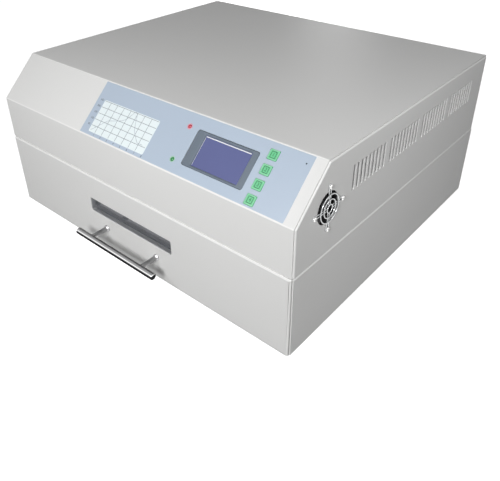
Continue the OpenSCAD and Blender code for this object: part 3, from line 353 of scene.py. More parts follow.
inkCurve = ink("inkCurve", (0.30, 0.34, 0.40))
# paler paint for the bends and the vents' lips: a painted highlight
bendPaint = powderCoat("bendPaint", (0.95, 0.95, 0.94))
# a darker copy of the chrome for the posts: painted shade in place of darker reflections
postChrome = brightPlate("postChrome", (0.36, 0.36, 0.365), 0.3)
paperWhite = ink("paperWhite", (0.84, 0.92, 0.94), 0.36)
inkKeyRim = ink("inkKeyRim", (0.30, 0.66, 0.42))
inkPink = ink("inkPink", (0.75, 0.36, 0.44))
inkPaleGreen = ink("inkPaleGreen", (0.36, 0.62, 0.45))
inkDeepGreen = ink("inkDeepGreen", (0.012, 0.115, 0.045))
inkWhite = ink("inkWhite", (0.82, 0.84, 0.85), 0.3)
print("materials made:", len(bpy.data.materials))

# Meshes


def newObject(name, mesh):
    piece = bpy.data.objects.new(name, mesh)
    bpy.context.scene.collection.objects.link(piece)
    return piece


def rawMesh(name, verts, edges=(), faces=()):
    mesh = bpy.data.meshes.new(name)
    mesh.from_pydata([tuple(vert) for vert in verts], edges, faces)
    return mesh


def welded(mesh):  # opened for editing, with doubled points joined
    bm = bmesh.new()
    bm.from_mesh(mesh)
    bmesh.ops.remove_doubles(bm, verts=bm.verts, dist=1e-6)
    return bm


def written(bm, mesh):
    bm.to_mesh(mesh)
    bm.free()
    return mesh


def tidied(mesh):
    bm = welded(mesh)
    bmesh.ops.recalc_face_normals(bm, faces=bm.faces)
    return written(bm, mesh)


def solidFrom(name, verts, faces):
    return tidied(rawMesh(name, verts, faces=faces))


def merged(name, meshes):
    bm = bmesh.new()
    for mesh in meshes:
        bm.from_mesh(mesh)
    return written(bm, bpy.data.meshes.new(name))


def placed(mesh, matrix):
    copy = mesh.copy()
    copy.transform(matrix)
    if matrix.determinant() < 0:
        copy.flip_normals()
    return copy


def evaluatedMesh(piece):
    graph = bpy.context.evaluated_depsgraph_get()
    mesh = bpy.data.meshes.new_from_object(piece.evaluated_get(graph))
    piece.modifiers.clear()
    return mesh


def takenMesh(piece):  # keeps the finished mesh and drops the object
    mesh = evaluatedMesh(piece)
    bpy.data.objects.remove(piece)
    return mesh


def paleBends(mesh):  # a paler paint wherever the sheet turns: a painted highlight along every bend
    mesh.materials.append(bendPaint)
    flats = [Vector((1, 0, 0)), Vector((0, 1, 0)), Vector((0, 0, 1)),
             Vector((0, -math.sin(slopeAngle), math.cos(slopeAngle)))]
    stillFlat = 0.998  # cosine of about 3.6 degrees
    for polygon in mesh.polygons:
        if all(abs(polygon.normal.dot(flat)) < stillFlat for flat in flats):
            polygon.material_index = 1


def dress(piece, body, slot, replaces=(), material=None, smoothAngle=32):  # finish, body and slot
    mesh = piece.data
    if material or not mesh.materials:
        mesh.materials.clear()
        mesh.materials.append(material or finishes[slot])
    mesh.shade_smooth()
    mesh.set_sharp_from_angle(angle=math.radians(smoothAngle))
    flatten = piece.modifiers.new("flatFaces", "WEIGHTED_NORMAL")
    flatten.weight, flatten.keep_sharp = 100, True
    piece.data = evaluatedMesh(piece)
    if slot == "cabinet_paint" and not material:
        paleBends(piece.data)
    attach(piece, body)
    if replaces:
        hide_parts(*replaces)
    return piece


def makePiece(name, mesh, body, slot, replaces=(), material=None, smoothAngle=32):
    return dress(newObject(name, mesh), body, slot, replaces, material, smoothAngle)


def bodyOf(node):
    return frame["nodes"][node]["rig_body"]


def slotOf(node):
    rows = frame["record"]["subparts"]
    return next(row["material_slot"] for row in rows if row["node"] == node)


def softenedCopy(node, width, bend=0, isBend=None):  # the solid with its sharp edges rounded
    bm = welded(frame["nodes"][node].data)
    bmesh.ops.dissolve_limit(bm, angle_limit=math.radians(0.5), verts=bm.verts, edges=bm.edges)
    if isBend:
        bent = [edge for edge in bm.edges if all(isBend(vert.co) for vert in edge.verts)]
        bmesh.ops.bevel(bm, geom=bent, offset=bend, segments=5, profile=0.5, affect="EDGES",
                        clamp_overlap=True)
    piece = newObject(node + "Dressed", written(bm, bpy.data.meshes.new(node)))
    bevel = piece.modifiers.new("edges", "BEVEL")
    bevel.width, bevel.segments, bevel.limit_method = width, 2, "ANGLE"
    bevel.angle_limit = math.radians(38)
    bevel.use_clamp_overlap = True
    piece.data = evaluatedMesh(piece)
    dress(piece, bodyOf(node), slotOf(node), [node])


# Loops, plates and turned shapes


def roundedLoop(points, radius, steps=5):
    loop = []
    for i, corner in enumerate(points):
        before, after = points[i - 1], points[(i + 1) % len(points)]
        u, v = (before - corner).normalized(), (after - corner).normalized()
        half = u.angle(v) / 2
        reach = radius / math.tan(half)
        centre = corner + (u + v).normalized() * radius / math.sin(half)
        start, end = corner + u * reach - centre, corner + v * reach - centre
        sweep = start.angle(end)
        for k in range(steps + 1):
            a = math.sin(sweep * (1 - k / steps)) / math.sin(sweep)
            b = math.sin(sweep * k / steps) / math.sin(sweep)
            loop.append(centre + start * a + end * b)
    return loop


def rectangle(width, height, centre, radius=0.0, steps=5):
    w, h = width / 2, height / 2
    points = [Vector((centre[0] + x, centre[1] + y)) for x, y in ((-w, -h), (w, -h), (w, h), (-w, h))]
    return roundedLoop(points, radius, steps) if radius else points


def circle(radius, centre=(0, 0), steps=40):
    turn = 2 * math.pi / steps
    return [Vector((centre[0] + radius * math.cos(i * turn), centre[1] + radius * math.sin(i * turn)))
            for i in range(steps)]


def offsetLoop(loop, distance):  # moves each point to the left of its run
    moved = []
    for i, point in enumerate(loop):
        a, b = (point - loop[i - 1]).normalized(), (loop[(i + 1) % len(loop)] - point).normalized()
        na, nb = Vector((-a.y, a.x)), Vector((-b.y, b.x))
        moved.append(point + (na + nb) * (distance / (1 + na.dot(nb))))
    return moved


def wound(loop, clockwise):
    area = sum(a.x * b.y - b.x * a.y for a, b in zip(loop, loop[1:] + loop[:1]))
    return loop if (area < 0) == clockwise else loop[::-1]


def quarterTurn(steps):
    return [math.pi / 2 * i / steps for i in range(steps + 1)]


# A rim is a list of (inset, depth) pairs that run from the front face to the back face.


def roundEdge(radius, steps, centre=None):
    middle = radius if centre is None else centre
    return [(middle - radius * math.sin(a), middle - radius * math.cos(a)) for a in quarterTurn(steps)]


def plainRim(thickness, edge):
    front = roundEdge(edge, 2)
    return front + [(inset, thickness - depth) for inset, depth in front[::-1]]


def bentRim(thickness, bend, depth):  # the sheet turns back and ends in a flange
    edge = 0.3 * mm
    lip = [(0, depth - edge), (edge, depth), (thickness - edge, depth), (thickness, depth - edge)]
    return roundEdge(bend, 5) + lip + roundEdge(bend - thickness, 4, bend)[::-1]


def formedPlate(name, outline, holes, rim, holeRims, place):
    loops = [wound(outline, False)] + [wound(hole, True) for hole in holes]
    verts, faces, fronts, backs = [], [], [], []
    for loop, profile in zip(loops, [rim] + holeRims):
        n = len(loop)
        rings = [(len(verts) + n * k, offsetLoop(loop, inset)) for k, (inset, _) in enumerate(profile)]
        for (_, ring), (_, depth) in zip(rings, profile):
            verts += [place(p.x, p.y, depth) for p in ring]
        for (a, _), (b, _) in zip(rings, rings[1:]):
            faces += [(a + i, a + (i + 1) % n, b + (i + 1) % n, b + i) for i in range(n)]
        fronts.append(rings[0])
        backs.append(rings[-1])
    for end in (fronts, backs):
        index = [first + i for first, ring in end for i in range(len(ring))]
        flat = [[Vector((p.x, p.y, 0)) for p in ring] for _, ring in end]
        faces += [tuple(index[i] for i in triangle) for triangle in tessellate_polygon(flat)]
    return solidFrom(name, verts, faces)


def turned(name, profile, matrix=Matrix.Identity(4), steps=32):  # (radius, height) pairs about local Z
    verts, faces = [], []
    for i in range(steps):
        angle = 2 * math.pi * i / steps
        verts += [(r * math.cos(angle), r * math.sin(angle), h) for r, h in profile]
    n = len(profile)
    for i in range(steps):
        a, b = i * n, (i + 1) % steps * n
        faces += [(a + k, b + k, b + k + 1, a + k + 1) for k in range(n - 1)]
    return placed(solidFrom(name, verts, faces), matrix)


def box(name, low, high):
    x, y, z = zip(low, high)
    verts = [(a, b, c) for a in x for b in y for c in z]
    faces = [(0, 1, 3, 2), (4, 6, 7, 5), (0, 4, 5, 1), (2, 3, 7, 6), (0, 2, 6, 4), (1, 5, 7, 3)]
    return solidFrom(name, verts, faces)


# Geometry Nodes


def geometryTree(name, inputs):  # inputs: the titles of the sockets, under the kind of socket
    nodeTree = bpy.data.node_groups.new(name, "GeometryNodeTree")
    nodeTree.interface.new_socket("Geometry", in_out="OUTPUT", socket_type="NodeSocketGeometry")
    for kind, titles in {"Geometry": ["Geometry"], **inputs, "Material": ["Material"]}.items():
        for title in titles:
            nodeTree.interface.new_socket(title, in_out="INPUT", socket_type="NodeSocket" + kind)
    tree = Tree(nodeTree)
    return tree, tree.add("NodeGroupInput", out="all")


def closeTree(tree, geometry, material):
    real = tree.add("GeometryNodeRealizeInstances", {"Geometry": geometry})
    painted = tree.add("GeometryNodeSetMaterial", {"Geometry": real, "Material": material})
    tree.add("NodeGroupOutput", {"Geometry": painted})
    return tree.nodeTree


def wireTree():  # a round wire along every edge of the mesh
    tree, given = geometryTree("wireAlongEdges", {"Float": ["Wire Radius"], "Int": ["Sides"]})
    path = tree.add("GeometryNodeMeshToCurve", {"Mesh": given["Geometry"]})
    ring = tree.add("GeometryNodeCurvePrimitiveCircle",
                    {"Resolution": given["Sides"], "Radius": given["Wire Radius"]})
    wire = tree.add("GeometryNodeCurveToMesh", {"Curve": path, "Profile Curve": ring, "Fill Caps": True})
    return closeTree(tree, wire, given["Material"])


def copiesTree():  # one copy of a source mesh on every vertex, turned along its "facing" vector
    tree, given = geometryTree("copiesOnPoints", {"Object": ["Source"]})
    source = tree.add("GeometryNodeObjectInfo", {"Object": given["Source"]}, out=4)
    facing = tree.add("GeometryNodeInputNamedAttribute", {"Name": "facing"}, data_type="FLOAT_VECTOR")
    turn = tree.add("FunctionNodeAlignRotationToVector", {"Vector": facing}, axis="Z")
    copies = tree.add("GeometryNodeInstanceOnPoints",
                      {"Points": given["Geometry"], "Instance": source, "Rotation": turn})
    return closeTree(tree, copies, given["Material"])


def slottedTree():  # a flat plate with a grid of round-cornered slots, its top face at z = 0
    lengths = ["Width", "Depth", "Thickness", "Columns Span", "Rows Span", "Slot Length",
               "Slot Width", "Corner"]
    tree, given = geometryTree("slottedPlate", {"Float": lengths, "Int": ["Columns", "Rows"]})
    field = tree.add("GeometryNodeMeshGrid",
                     {"Size X": given["Columns Span"], "Size Y": given["Rows Span"],
                      "Vertices X": given["Columns"], "Vertices Y": given["Rows"]})
    slot = tree.add("GeometryNodeCurvePrimitiveQuadrilateral",
                    {"Width": given["Slot Length"], "Height": given["Slot Width"]})
    slot = tree.add("GeometryNodeFilletCurve",
                    {"Curve": slot, "Radius": given["Corner"], "Count": 4}, mode="POLY")
    slots = tree.add("GeometryNodeInstanceOnPoints", {"Points": field, "Instance": slot})
    slots = tree.add("GeometryNodeRealizeInstances", {"Geometry": slots})
    edge = tree.add("GeometryNodeCurvePrimitiveQuadrilateral",
                    {"Width": given["Width"], "Height": given["Depth"]})
    outlines = tree.add("GeometryNodeJoinGeometry", {"Geometry": [slots, edge]})
    face = tree.add("GeometryNodeFillCurve", {"Curve": outlines}, mode="TRIANGLES")
    down = tree.add("ShaderNodeCombineXYZ", {"Z": given["Thickness"] * -1})
    wall = tree.add("GeometryNodeExtrudeMesh", {"Mesh": face, "Offset": down, "Offset Scale": 1.0,
                                                "Individual": False}, mode="FACES")
    plate = tree.add("GeometryNodeJoinGeometry", {"Geometry": [wall, face]})
    return closeTree(tree, plate, given["Material"])


trees = {"wire": wireTree(), "copies": copiesTree(), "slotted": slottedTree()}


def grown(piece, tree, values):
    modifier = piece.modifiers.new(tree.name, "NODES")
    modifier.node_group = tree
    identifiers = {item.name: item.identifier for item in tree.interface.items_tree
                   if item.item_type == "SOCKET" and item.in_out == "INPUT"}
    for title, value in values.items():
        modifier[identifiers[title]] = value
    piece.data = evaluatedMesh(piece)
    tidied(piece.data)
    return piece


def wirePiece(name, paths, radius, sides, slot, node, smoothAngle):  # paths: (points, closed) pairs
    verts, edges = [], []
    for points, closed in paths:
        first = len(verts)
        verts += points
        edges += [(first + i, first + i + 1) for i in range(len(points) - 1)]
        if closed:
            edges.append((len(verts) - 1, first))
    values = {"Wire Radius": radius, "Sides": sides, "Material": finishes[slot]}
    piece = grown(newObject(name, rawMesh(name, verts, edges)), trees["wire"], values)
    dress(piece, "cabinet", slot, [node], smoothAngle=smoothAngle)


def copiesPiece(name, source, places, slot, node):  # places: (point, facing) pairs
    mesh = rawMesh(name, [point for point, _ in places])
    facing = mesh.attributes.new("facing", "FLOAT_VECTOR", "POINT")
    for item, (_, direction) in zip(facing.data, places):
        item.vector = direction
    original = newObject(name + "Source", source)
    values = {"Source": original, "Material": finishes[slot]}
    piece = grown(newObject(name, mesh), trees["copies"], values)
    bpy.data.objects.remove(original)
    dress(piece, "cabinet", slot, [node])


# Cabinet

baseLow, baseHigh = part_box("base_pan")
shellLow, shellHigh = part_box("cover_shell")
cabinet = {
    "half": baseHigh.x, "floorZ": baseLow.z, "seamZ": baseHigh.z, "topZ": shellHigh.z,
    "frontY": shellLow.y, "rearY": baseHigh.y,
    "slopeRun": 60.5 * mm, "slopeRise": 58 * mm,
    "sheet": 1.5 * mm, "flange": 12 * mm, "gap": 0.3 * mm, "rearGap": 0.05 * mm, "edge": 0.35 * mm,
}
slopeAngle = math.atan2(cabinet["slopeRise"], cabinet["slopeRun"])
slopeLength = math.hypot(cabinet["slopeRise"], cabinet["slopeRun"])
slopeZ = cabinet["topZ"] - cabinet["slopeRise"]
slopeMatrix = Matrix.Translation((0, cabinet["frontY"], slopeZ)) @ Matrix.Rotation(slopeAngle, 4, "X")
sideFan = middleOf("side_fan_rotor_right")


def onSlope(x, up, out):
    return slopeMatrix @ Vector((x, up, out))


def coverOutline(depth):  # the cover's side view, (y, z), at a depth below its outer faces
    lower = depth * (1 - math.sin(slopeAngle)) / math.cos(slopeAngle)
    upper = (depth + math.cos(slopeAngle) * (cabinet["slopeRise"] - depth)) / math.sin(slopeAngle)
    y, top = cabinet["frontY"], cabinet["topZ"] - depth
    back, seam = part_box("rear_panel")[0].y - cabinet["rearGap"], cabinet["seamZ"]
    return [Vector(p) for p in ((y + depth, seam), (back, seam), (back, top), (y + upper, top),
                                (y + depth, slopeZ - lower))]


vents = {
    "first": 115 * mm, "middleZ": 199 * mm, "width": 5.3 * mm, "height": 34.4 * mm, "pitch": 8.9 * mm,
    "perGroup": 9, "groups": 4, "corner": 1.2 * mm,
    "lip": 3.3 * mm, "lipWall": 0.8 * mm, "lipEdge": 0.2 * mm,
}
sidePlate = {"bend": 1.7 * mm, "corner": 1.8 * mm, "fanOpening": 21 * mm, "openingEdge": 0.25 * mm}
ventMiddle = cabinet["floorZ"] + vents["middleZ"]


def ventLoops():  # one slot's place stays empty between two groups
    loops = []
    for group in range(vents["groups"]):
        for i in range(vents["perGroup"]):
            step = group * (vents["perGroup"] + 1) + i
            centre = (cabinet["frontY"] + vents["first"] + step * vents["pitch"], ventMiddle)
            loops.append(rectangle(vents["width"], vents["height"], centre, vents["corner"], 4))
    return loops


def ventRim():  # each vent's edge is turned inwards
    lip, wall = vents["lip"], vents["lipWall"]
    return roundEdge(vents["lipEdge"], 2) + [(0, lip), (wall, lip), (wall, cabinet["sheet"])]


def paleVents(mesh):  # the turned-in lips get the bends' paler paint: a painted highlight on every vent
    first = cabinet["frontY"] + vents["first"]
    last = first + vents["groups"] * (vents["perGroup"] + 1) * vents["pitch"]
    reach = vents["height"] / 2 + mm
    for polygon in mesh.polygons:
        spot = polygon.center
        isAmong = first - vents["pitch"] < spot.y < last and abs(spot.z - ventMiddle) < reach
        if isAmong and abs(polygon.normal.y) > 0.99:
            polygon.material_index = 1


def coverSide(side, name, node):
    outline = roundedLoop(coverOutline(cabinet["sheet"] + cabinet["gap"]), sidePlate["corner"], 3)
    slots = ventLoops()
    holes = slots + [circle(sidePlate["fanOpening"], (sideFan.y, sideFan.z), 48)]
    rim = bentRim(cabinet["sheet"], sidePlate["bend"], cabinet["flange"])
    rims = [ventRim()] * len(slots) + [plainRim(cabinet["sheet"], sidePlate["openingEdge"])]
    mesh = formedPlate(node, outline, holes, rim, rims,
                       lambda y, z, depth: Vector((side * (cabinet["half"] - depth), y, z)))
    piece = makePiece(name, mesh, "cabinet", "cabinet_paint", [node])
    paleVents(piece.data)


coverSide(1, "coverSideRight", "cover_side_right")
coverSide(-1, "coverSideLeft", "cover_side_left")
basePan = {"bend": 1.9 * mm, "nearTop": 0.1 * mm}


def isPanBend(spot):  # where the base pan's walls turn inwards
    return min(abs(spot.x) - baseHigh.x, spot.z - baseHigh.z) > -basePan["nearTop"]


softenedCopy("base_pan", cabinet["edge"], basePan["bend"], isPanBend)
softenedCopy("cover_shell", cabinet["edge"])
softenedCopy("rear_panel", cabinet["edge"])
print("cabinet sheets made")

# Drawer front

frontLow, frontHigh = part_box("drawer_front")
drawerFront = {
    "bend": 2.1 * mm, "corner": 1.2 * mm, "windowWidth": 174 * mm, "windowHeight": 23 * mm,
    "windowCorner": 2.4 * mm, "windowEdge": 0.3 * mm,
}


def makeDrawerFront():
    width, height = frontHigh.x - frontLow.x, frontHigh.z - frontLow.z
    centre = (0, (frontLow.z + frontHigh.z) / 2)
    outline = rectangle(width, height, centre, drawerFront["corner"], 3)
    window = rectangle(drawerFront["windowWidth"], drawerFront["windowHeight"],
                       (0, middleOf("window_pane").z), drawerFront["windowCorner"], 5)
    rim = bentRim(cabinet["sheet"], drawerFront["bend"], frontHigh.y - frontLow.y)
    windowRim = plainRim(cabinet["sheet"], drawerFront["windowEdge"])
    mesh = formedPlate("drawerFront", outline, [window], rim, [windowRim],
                       lambda x, z, depth: Vector((x, frontLow.y + depth, z)))
    makePiece("drawerFront", mesh, "drawer", "cabinet_paint", ["drawer_front"])


makeDrawerFront()
softenedCopy("window_frame", 0.25 * mm)
softenedCopy("window_pane", 0.3 * mm)

handlePost = {
    "radius": 3.6 * mm, "collarRadius": 5.4 * mm, "collarHeight": 1.6 * mm, "collarSide": 0.6,
    "collarEdge": 0.5 * mm, "filletOut": 1.0 * mm, "filletUp": 1.2 * mm,
}


def roundedRod(radius, length, edge):
    end = [(max(radius - edge + edge * math.sin(a), 0), length - edge + edge * math.cos(a))
           for a in quarterTurn(4)]
    start = [(r, length - h) for r, h in end]
    return [(0, 0)] + start + end[::-1] + [(0, length)]


def postProfile(reach):
    radius, base, collar = (handlePost[key] for key in ("radius", "collarRadius", "collarHeight"))
    return [(0, 0), (base, 0), (base, collar * handlePost["collarSide"]),
            (base - handlePost["collarEdge"], collar), (radius + handlePost["filletOut"], collar),
            (radius, collar + handlePost["filletUp"]), (radius, reach), (0, reach)]


def makeHandle():
    low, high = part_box("handle_bar")
    middle = (low + high) / 2
    turn = Matrix.Translation((low.x, middle.y, middle.z)) @ Matrix.Rotation(math.pi / 2, 4, "Y")
    rod = roundedRod(handleBar["radius"], high.x - low.x, handleBar["edge"])
    makePiece("handleBar", turned("handleBar", rod, turn, 48), "drawer", "handle_chrome", ["handle_bar"])
    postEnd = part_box("handle_posts")[1]
    posts = []
    for side in (-1, 1):
        foot = Vector((side * (postEnd.x - handlePost["radius"]), postEnd.y, middle.z))
        place = Matrix.Translation(foot) @ Matrix.Rotation(math.pi / 2, 4, "X")
        posts.append(turned("post", postProfile(postEnd.y - middle.y), place, 36))
    makePiece("handlePosts", merged("handlePosts", posts), "drawer", "handle_chrome", ["handle_posts"],
              postChrome)


makeHandle()
print("drawer front made")

# Control panel

label = {
    "width": 355.5 * mm, "height": 80.5 * mm, "thickness": 0.5 * mm, "corner": 0.8 * mm,
    "edge": 0.12 * mm, "clearance": 0.3 * mm,
}
display = {
    "width": 96.5 * mm, "height": 48.5 * mm, "corner": 3 * mm, "edge": 0.9 * mm, "depth": 8 * mm,
    "viewWidth": 73 * mm, "viewHeight": 41.5 * mm, "viewCorner": 0.8 * mm,
    "step": [(1.5 * mm, 0), (1.3 * mm, 0.12 * mm), (0.2 * mm, 1.2 * mm), (0, 1.5 * mm)],
    "glass": 3 * mm, "glassGap": 0.1 * mm, "glassEdge": 0.2 * mm, "glassSunk": 1.6 * mm,
    "lightSunk": 1.5 * mm,
}
keys = {
    "width": 13.4 * mm, "height": 12.8 * mm, "corner": 1.2 * mm, "openingCorner": 1.4 * mm,
    "top": 0.9 * mm, "edge": 0.5 * mm, "skirt": 2.5 * mm, "flange": 1.2 * mm, "bottom": 3.4 * mm,
    "hollow": 2 * mm,
    "rim": (12.2 * mm, 11.6 * mm, 0.8 * mm), "rimInside": (10.4 * mm, 9.8 * mm, 0.6 * mm),
    "border": (7.4 * mm, 8.4 * mm, 0.8 * mm), "borderLine": 0.7 * mm, "numeral": 6.4 * mm,
}
lights = {
    "radius": 2.5 * mm, "dome": 0.42, "collar": 0.2 * mm, "depth": 9.4 * mm,
    "ringInside": 0.35 * mm, "ringOutside": 1.5 * mm, "ringUp": 0.04 * mm,
}
labelTop = label["thickness"]
toSlope = slopeMatrix.inverted()
bezelSpot = toSlope @ middleOf("lcd_bezel")
screenSpot = toSlope @ middleOf("lcd_screen")
keyPlaces = [toSlope @ middleOf(f"key_{i}") for i in (1, 2, 3, 4)]
lightPlaces = {name: toSlope @ middleOf(name + "_light") for name in ("heating", "cooling")}


def slopePlate(name, outline, holes, rim, holeRim, top):
    return formedPlate(name, outline, holes, rim, [holeRim] * len(holes),
                       lambda x, up, depth: onSlope(x, up, top - depth))


graph = {
    "left": -72 * mm, "right": 41 * mm, "low": 6.5 * mm, "high": 56 * mm, "corner": 2.2 * mm,
    "columns": 8, "rows": 5, "cell": 14 * mm, "cellUp": 9.6 * mm, "line": 0.55 * mm, "margin": mm,
    "print": 0.06 * mm, "paperUp": 0.06 * mm, "linesUp": 0.12 * mm,
    "numeral": 4.2 * mm, "numeralStep": 50, "numeralLeft": 6 * mm, "numeralBelow": 2.6 * mm,
}
printRim = [(0, 0), (0, graph["print"])]


def inkPlate(name, outline, holes, top):
    return slopePlate(name, outline, holes, printRim, printRim, top)


def inkPiece(name, mesh, ink, slot="label_film"):
    makePiece(name, mesh, "cabinet", slot, material=ink)


rivet = {"right": 260.7 * mm, "up": 71.3 * mm, "radius": 1.0 * mm, "height": 0.42 * mm}


def makeLabel():
    room = 2 * label["clearance"]
    outline = rectangle(label["width"], label["height"], (middleOf("front_label").x, slopeLength / 2),
                        label["corner"], 2)
    holes = [rectangle(display["width"] + room, display["height"] + room, bezelSpot[:2], display["corner"])]
    holes += [rectangle(keys["width"] + room, keys["height"] + room, spot[:2], keys["openingCorner"])
              for spot in keyPlaces]
    holes += [circle(lights["radius"] + label["clearance"], spot[:2], 24) for spot in lightPlaces.values()]
    rim = plainRim(labelTop, label["edge"])
    film = slopePlate("frontLabel", outline, holes, rim, rim, labelTop)
    makePiece("frontLabel", film, "cabinet", "label_film", ["front_label"])
    radius, height = rivet["radius"], rivet["height"]
    crown = [(0, 0), (radius, 0), (radius * 0.86, 0.25 * mm), (radius * 0.4, 0.4 * mm), (0, height)]
    place = slopeMatrix @ Matrix.Translation((rivet["right"], rivet["up"], labelTop))
    inkPiece("labelRivet", turned("labelRivet", crown, place, 20), inkDark)


def flatPrint(name, loops, height, ink, slot="label_film"):
    plates = [inkPlate(name, loop, [], labelTop + height) for loop in loops]
    inkPiece(name, merged(name, plates), ink, slot)


def strip(left, low, right, high):
    return rectangle(right - left, high - low, ((left + right) / 2, (low + high) / 2))


def directions(points):
    last = len(points) - 1
    return [(points[min(i + 1, last)] - points[max(i - 1, 0)]).normalized() for i in range(last + 1)]


def ribbon(points, width):
    halves = [Vector((-way.y, way.x)) * width / 2 for way in directions(points)]
    left = [point + half for point, half in zip(points, halves)]
    right = [point - half for point, half in zip(points, halves)]
    return [[left[i], right[i], right[i + 1], left[i + 1]] for i in range(len(points) - 1)]


heat = {  # every time and rise is a share of the graph's width or height
    "start": (0.03, 0.05), "run": 0.9, "steps": 60, "line": 0.5 * mm, "curveUp": 0.14 * mm,
    "rampTime": 0.22, "rampRise": 0.42, "soakTime": 0.26, "soakRise": 0.16,
    "peakTime": 0.62, "peakSpread": 0.085, "peakRise": 0.36,
    "coolStart": 0.66, "coolTime": 0.24, "coolFall": 0.40,
}


def rising(share, start, time):  # 0 until start, then up to 1 within the time
    return min(max((share - start) / time, 0), 1)


def heatCurve(share):  # preheat ramp, soak, peak and cooling
    ramp = heat["rampRise"] * rising(share, 0, heat["rampTime"])
    soak = heat["soakRise"] * rising(share, heat["rampTime"], heat["soakTime"])
    peak = heat["peakRise"] * math.exp(-((share - heat["peakTime"]) / heat["peakSpread"]) ** 2)
    return ramp + soak + peak - heat["coolFall"] * rising(share, heat["coolStart"], heat["coolTime"])


def makeGraph():
    left, right, low, high = (graph[key] for key in ("left", "right", "low", "high"))
    width, height, half, margin = right - left, high - low, graph["line"] / 2, graph["margin"]
    paper = rectangle(width, height, ((left + right) / 2, (low + high) / 2), graph["corner"])
    flatPrint("graphPaper", [paper], graph["paperUp"], paperWhite)
    upright = [left + i * graph["cell"] for i in range(1, graph["columns"])]
    level = [low + i * graph["cellUp"] for i in range(1, graph["rows"] + 1)]
    lines = [strip(x - half, low + margin, x + half, high - margin) for x in upright]
    lines += [strip(left + margin, up - half, right - margin, up + half) for up in level]
    flatPrint("graphLines", lines, graph["linesUp"], inkGrid)
    shares = [i / heat["steps"] for i in range(heat["steps"] + 1)]
    points = [Vector((left + width * (heat["start"][0] + heat["run"] * share),
                      low + height * (heat["start"][1] + heatCurve(share)))) for share in shares]
    flatPrint("graphCurve", ribbon(points, heat["line"]), heat["curveUp"], inkCurve)


def textMesh(words, size, right, up, height):
    curve = bpy.data.curves.new("numeral", "FONT")
    curve.body, curve.size, curve.extrude = words, size, 0.03 * mm
    curve.align_x, curve.align_y = "CENTER", "CENTER"
    mesh = takenMesh(newObject("numeral", curve))
    mesh.materials.clear()
    mesh.transform(slopeMatrix @ Matrix.Translation((right, up, height)))
    return mesh


def makeNumerals():
    size, height = graph["numeral"], labelTop + 0.03 * mm
    marks = [textMesh(str(graph["numeralStep"] * i), size, graph["left"] - graph["numeralLeft"],
                      graph["low"] + i * graph["cellUp"], height) for i in range(1, graph["rows"] + 1)]
    marks += [textMesh(str(i), size, graph["left"] + i * graph["cell"],
                       graph["low"] - graph["numeralBelow"], height) for i in range(1, graph["columns"] + 1)]
    inkPiece("axisNumerals", merged("axisNumerals", marks), inkDark)


def makeDisplay():
    width, height = display["viewWidth"], display["viewHeight"]
    opening = rectangle(width, height, screenSpot[:2], display["viewCorner"], 3)
    back = [(0, display["depth"])]
    outline = rectangle(display["width"], display["height"], bezelSpot[:2], display["corner"])
    bezel = slopePlate("displayBezel", outline, [opening], roundEdge(display["edge"], 4) + back,
                       display["step"] + back, labelTop)
    makePiece("displayBezel", bezel, "cabinet", "bezel_plastic", ["lcd_bezel"])
    rim, gap = plainRim(display["glass"], display["glassEdge"]), 2 * display["glassGap"]
    glass = slopePlate("displayScreen", rectangle(width - gap, height - gap, screenSpot[:2]), [], rim, rim,
                       labelTop - display["glassSunk"])
    makePiece("displayScreen", glass, "cabinet", "screen", ["lcd_screen"])
    left, top = screenSpot.x - width / 2, screenSpot.y + height / 2
    # white strips along the top and left edges stand in for the backlight's glow: painted light
    edgeLight = [strip(left + 1.5 * mm, top - 2.1 * mm, left + width - 1.2 * mm, top - 0.8 * mm),
                 strip(left + 0.7 * mm, top - height + 1.2 * mm, left + 1.1 * mm, top - 0.9 * mm)]
    flatPrint("displayBacklight", edgeLight, -display["lightSunk"], inkWhite, "screen")


def makeKeys():
    top, printTop = keys["top"], keys["top"] + graph["print"] / 2
    flange, bottom = keys["flange"], keys["bottom"]
    rim = roundEdge(keys["edge"], 3)
    rim += [(0, keys["skirt"]), (-flange, keys["skirt"]), (-flange, bottom), (keys["hollow"], bottom)]
    for number, spot in enumerate(keyPlaces, start=1):
        body, centre = f"key_{number}", spot[:2]
        outline = rectangle(keys["width"], keys["height"], centre, keys["corner"])
        cap = slopePlate(f"key{number}", outline, [], rim, rim, top)
        makePiece(f"key{number}", cap, body, "key_green", [f"key_{number}"])
        width, height, corner = keys["border"]
        outside = rectangle(width, height, centre, corner)
        inside = offsetLoop(wound(outside, False), keys["borderLine"])
        border = inkPlate("border", outside, [inside], printTop)
        (width, height, corner), (inWidth, inHeight, inCorner) = keys["rim"], keys["rimInside"]
        keyRim = inkPlate("keyRim", rectangle(width, height, centre, corner),
                          [rectangle(inWidth, inHeight, centre, inCorner)], printTop)
        makePiece(f"keyRim{number}", keyRim, body, "key_green", material=inkKeyRim)
        numeral = textMesh(str(number), keys["numeral"], spot.x, spot.y, top + 0.01 * mm)
        makePiece(f"keyMark{number}", merged("keyMark", [border, numeral]), body, "key_green",
                  material=inkDeepGreen)


def makeStatusLight(name, slot, ringInk):
    spot, radius, depth = lightPlaces[name], lights["radius"], lights["depth"]
    rise, dome = labelTop + lights["collar"], radius * lights["dome"]
    crown = [(radius * math.sin(a), rise + dome * math.cos(a)) for a in quarterTurn(6)]
    profile = [(0, -depth), (radius, -depth)] + crown[::-1]
    lens = turned(name, profile, slopeMatrix @ Matrix.Translation((spot.x, spot.y, 0)), 28)
    makePiece(name + "Light", lens, "cabinet", slot, [name + "_light"])
    outside = circle(radius + lights["ringOutside"], spot[:2])
    inside = circle(radius + lights["ringInside"], spot[:2])
    ring = inkPlate("ring", outside, [inside], labelTop + lights["ringUp"])
    inkPiece(name + "Ring", ring, ringInk)


makeLabel()
makeGraph()
makeNumerals()
makeDisplay()
makeKeys()
makeStatusLight("heating", "red_lens", inkPink)
makeStatusLight("cooling", "green_lens", inkPaleGreen)
print("control panel made")

# Fans

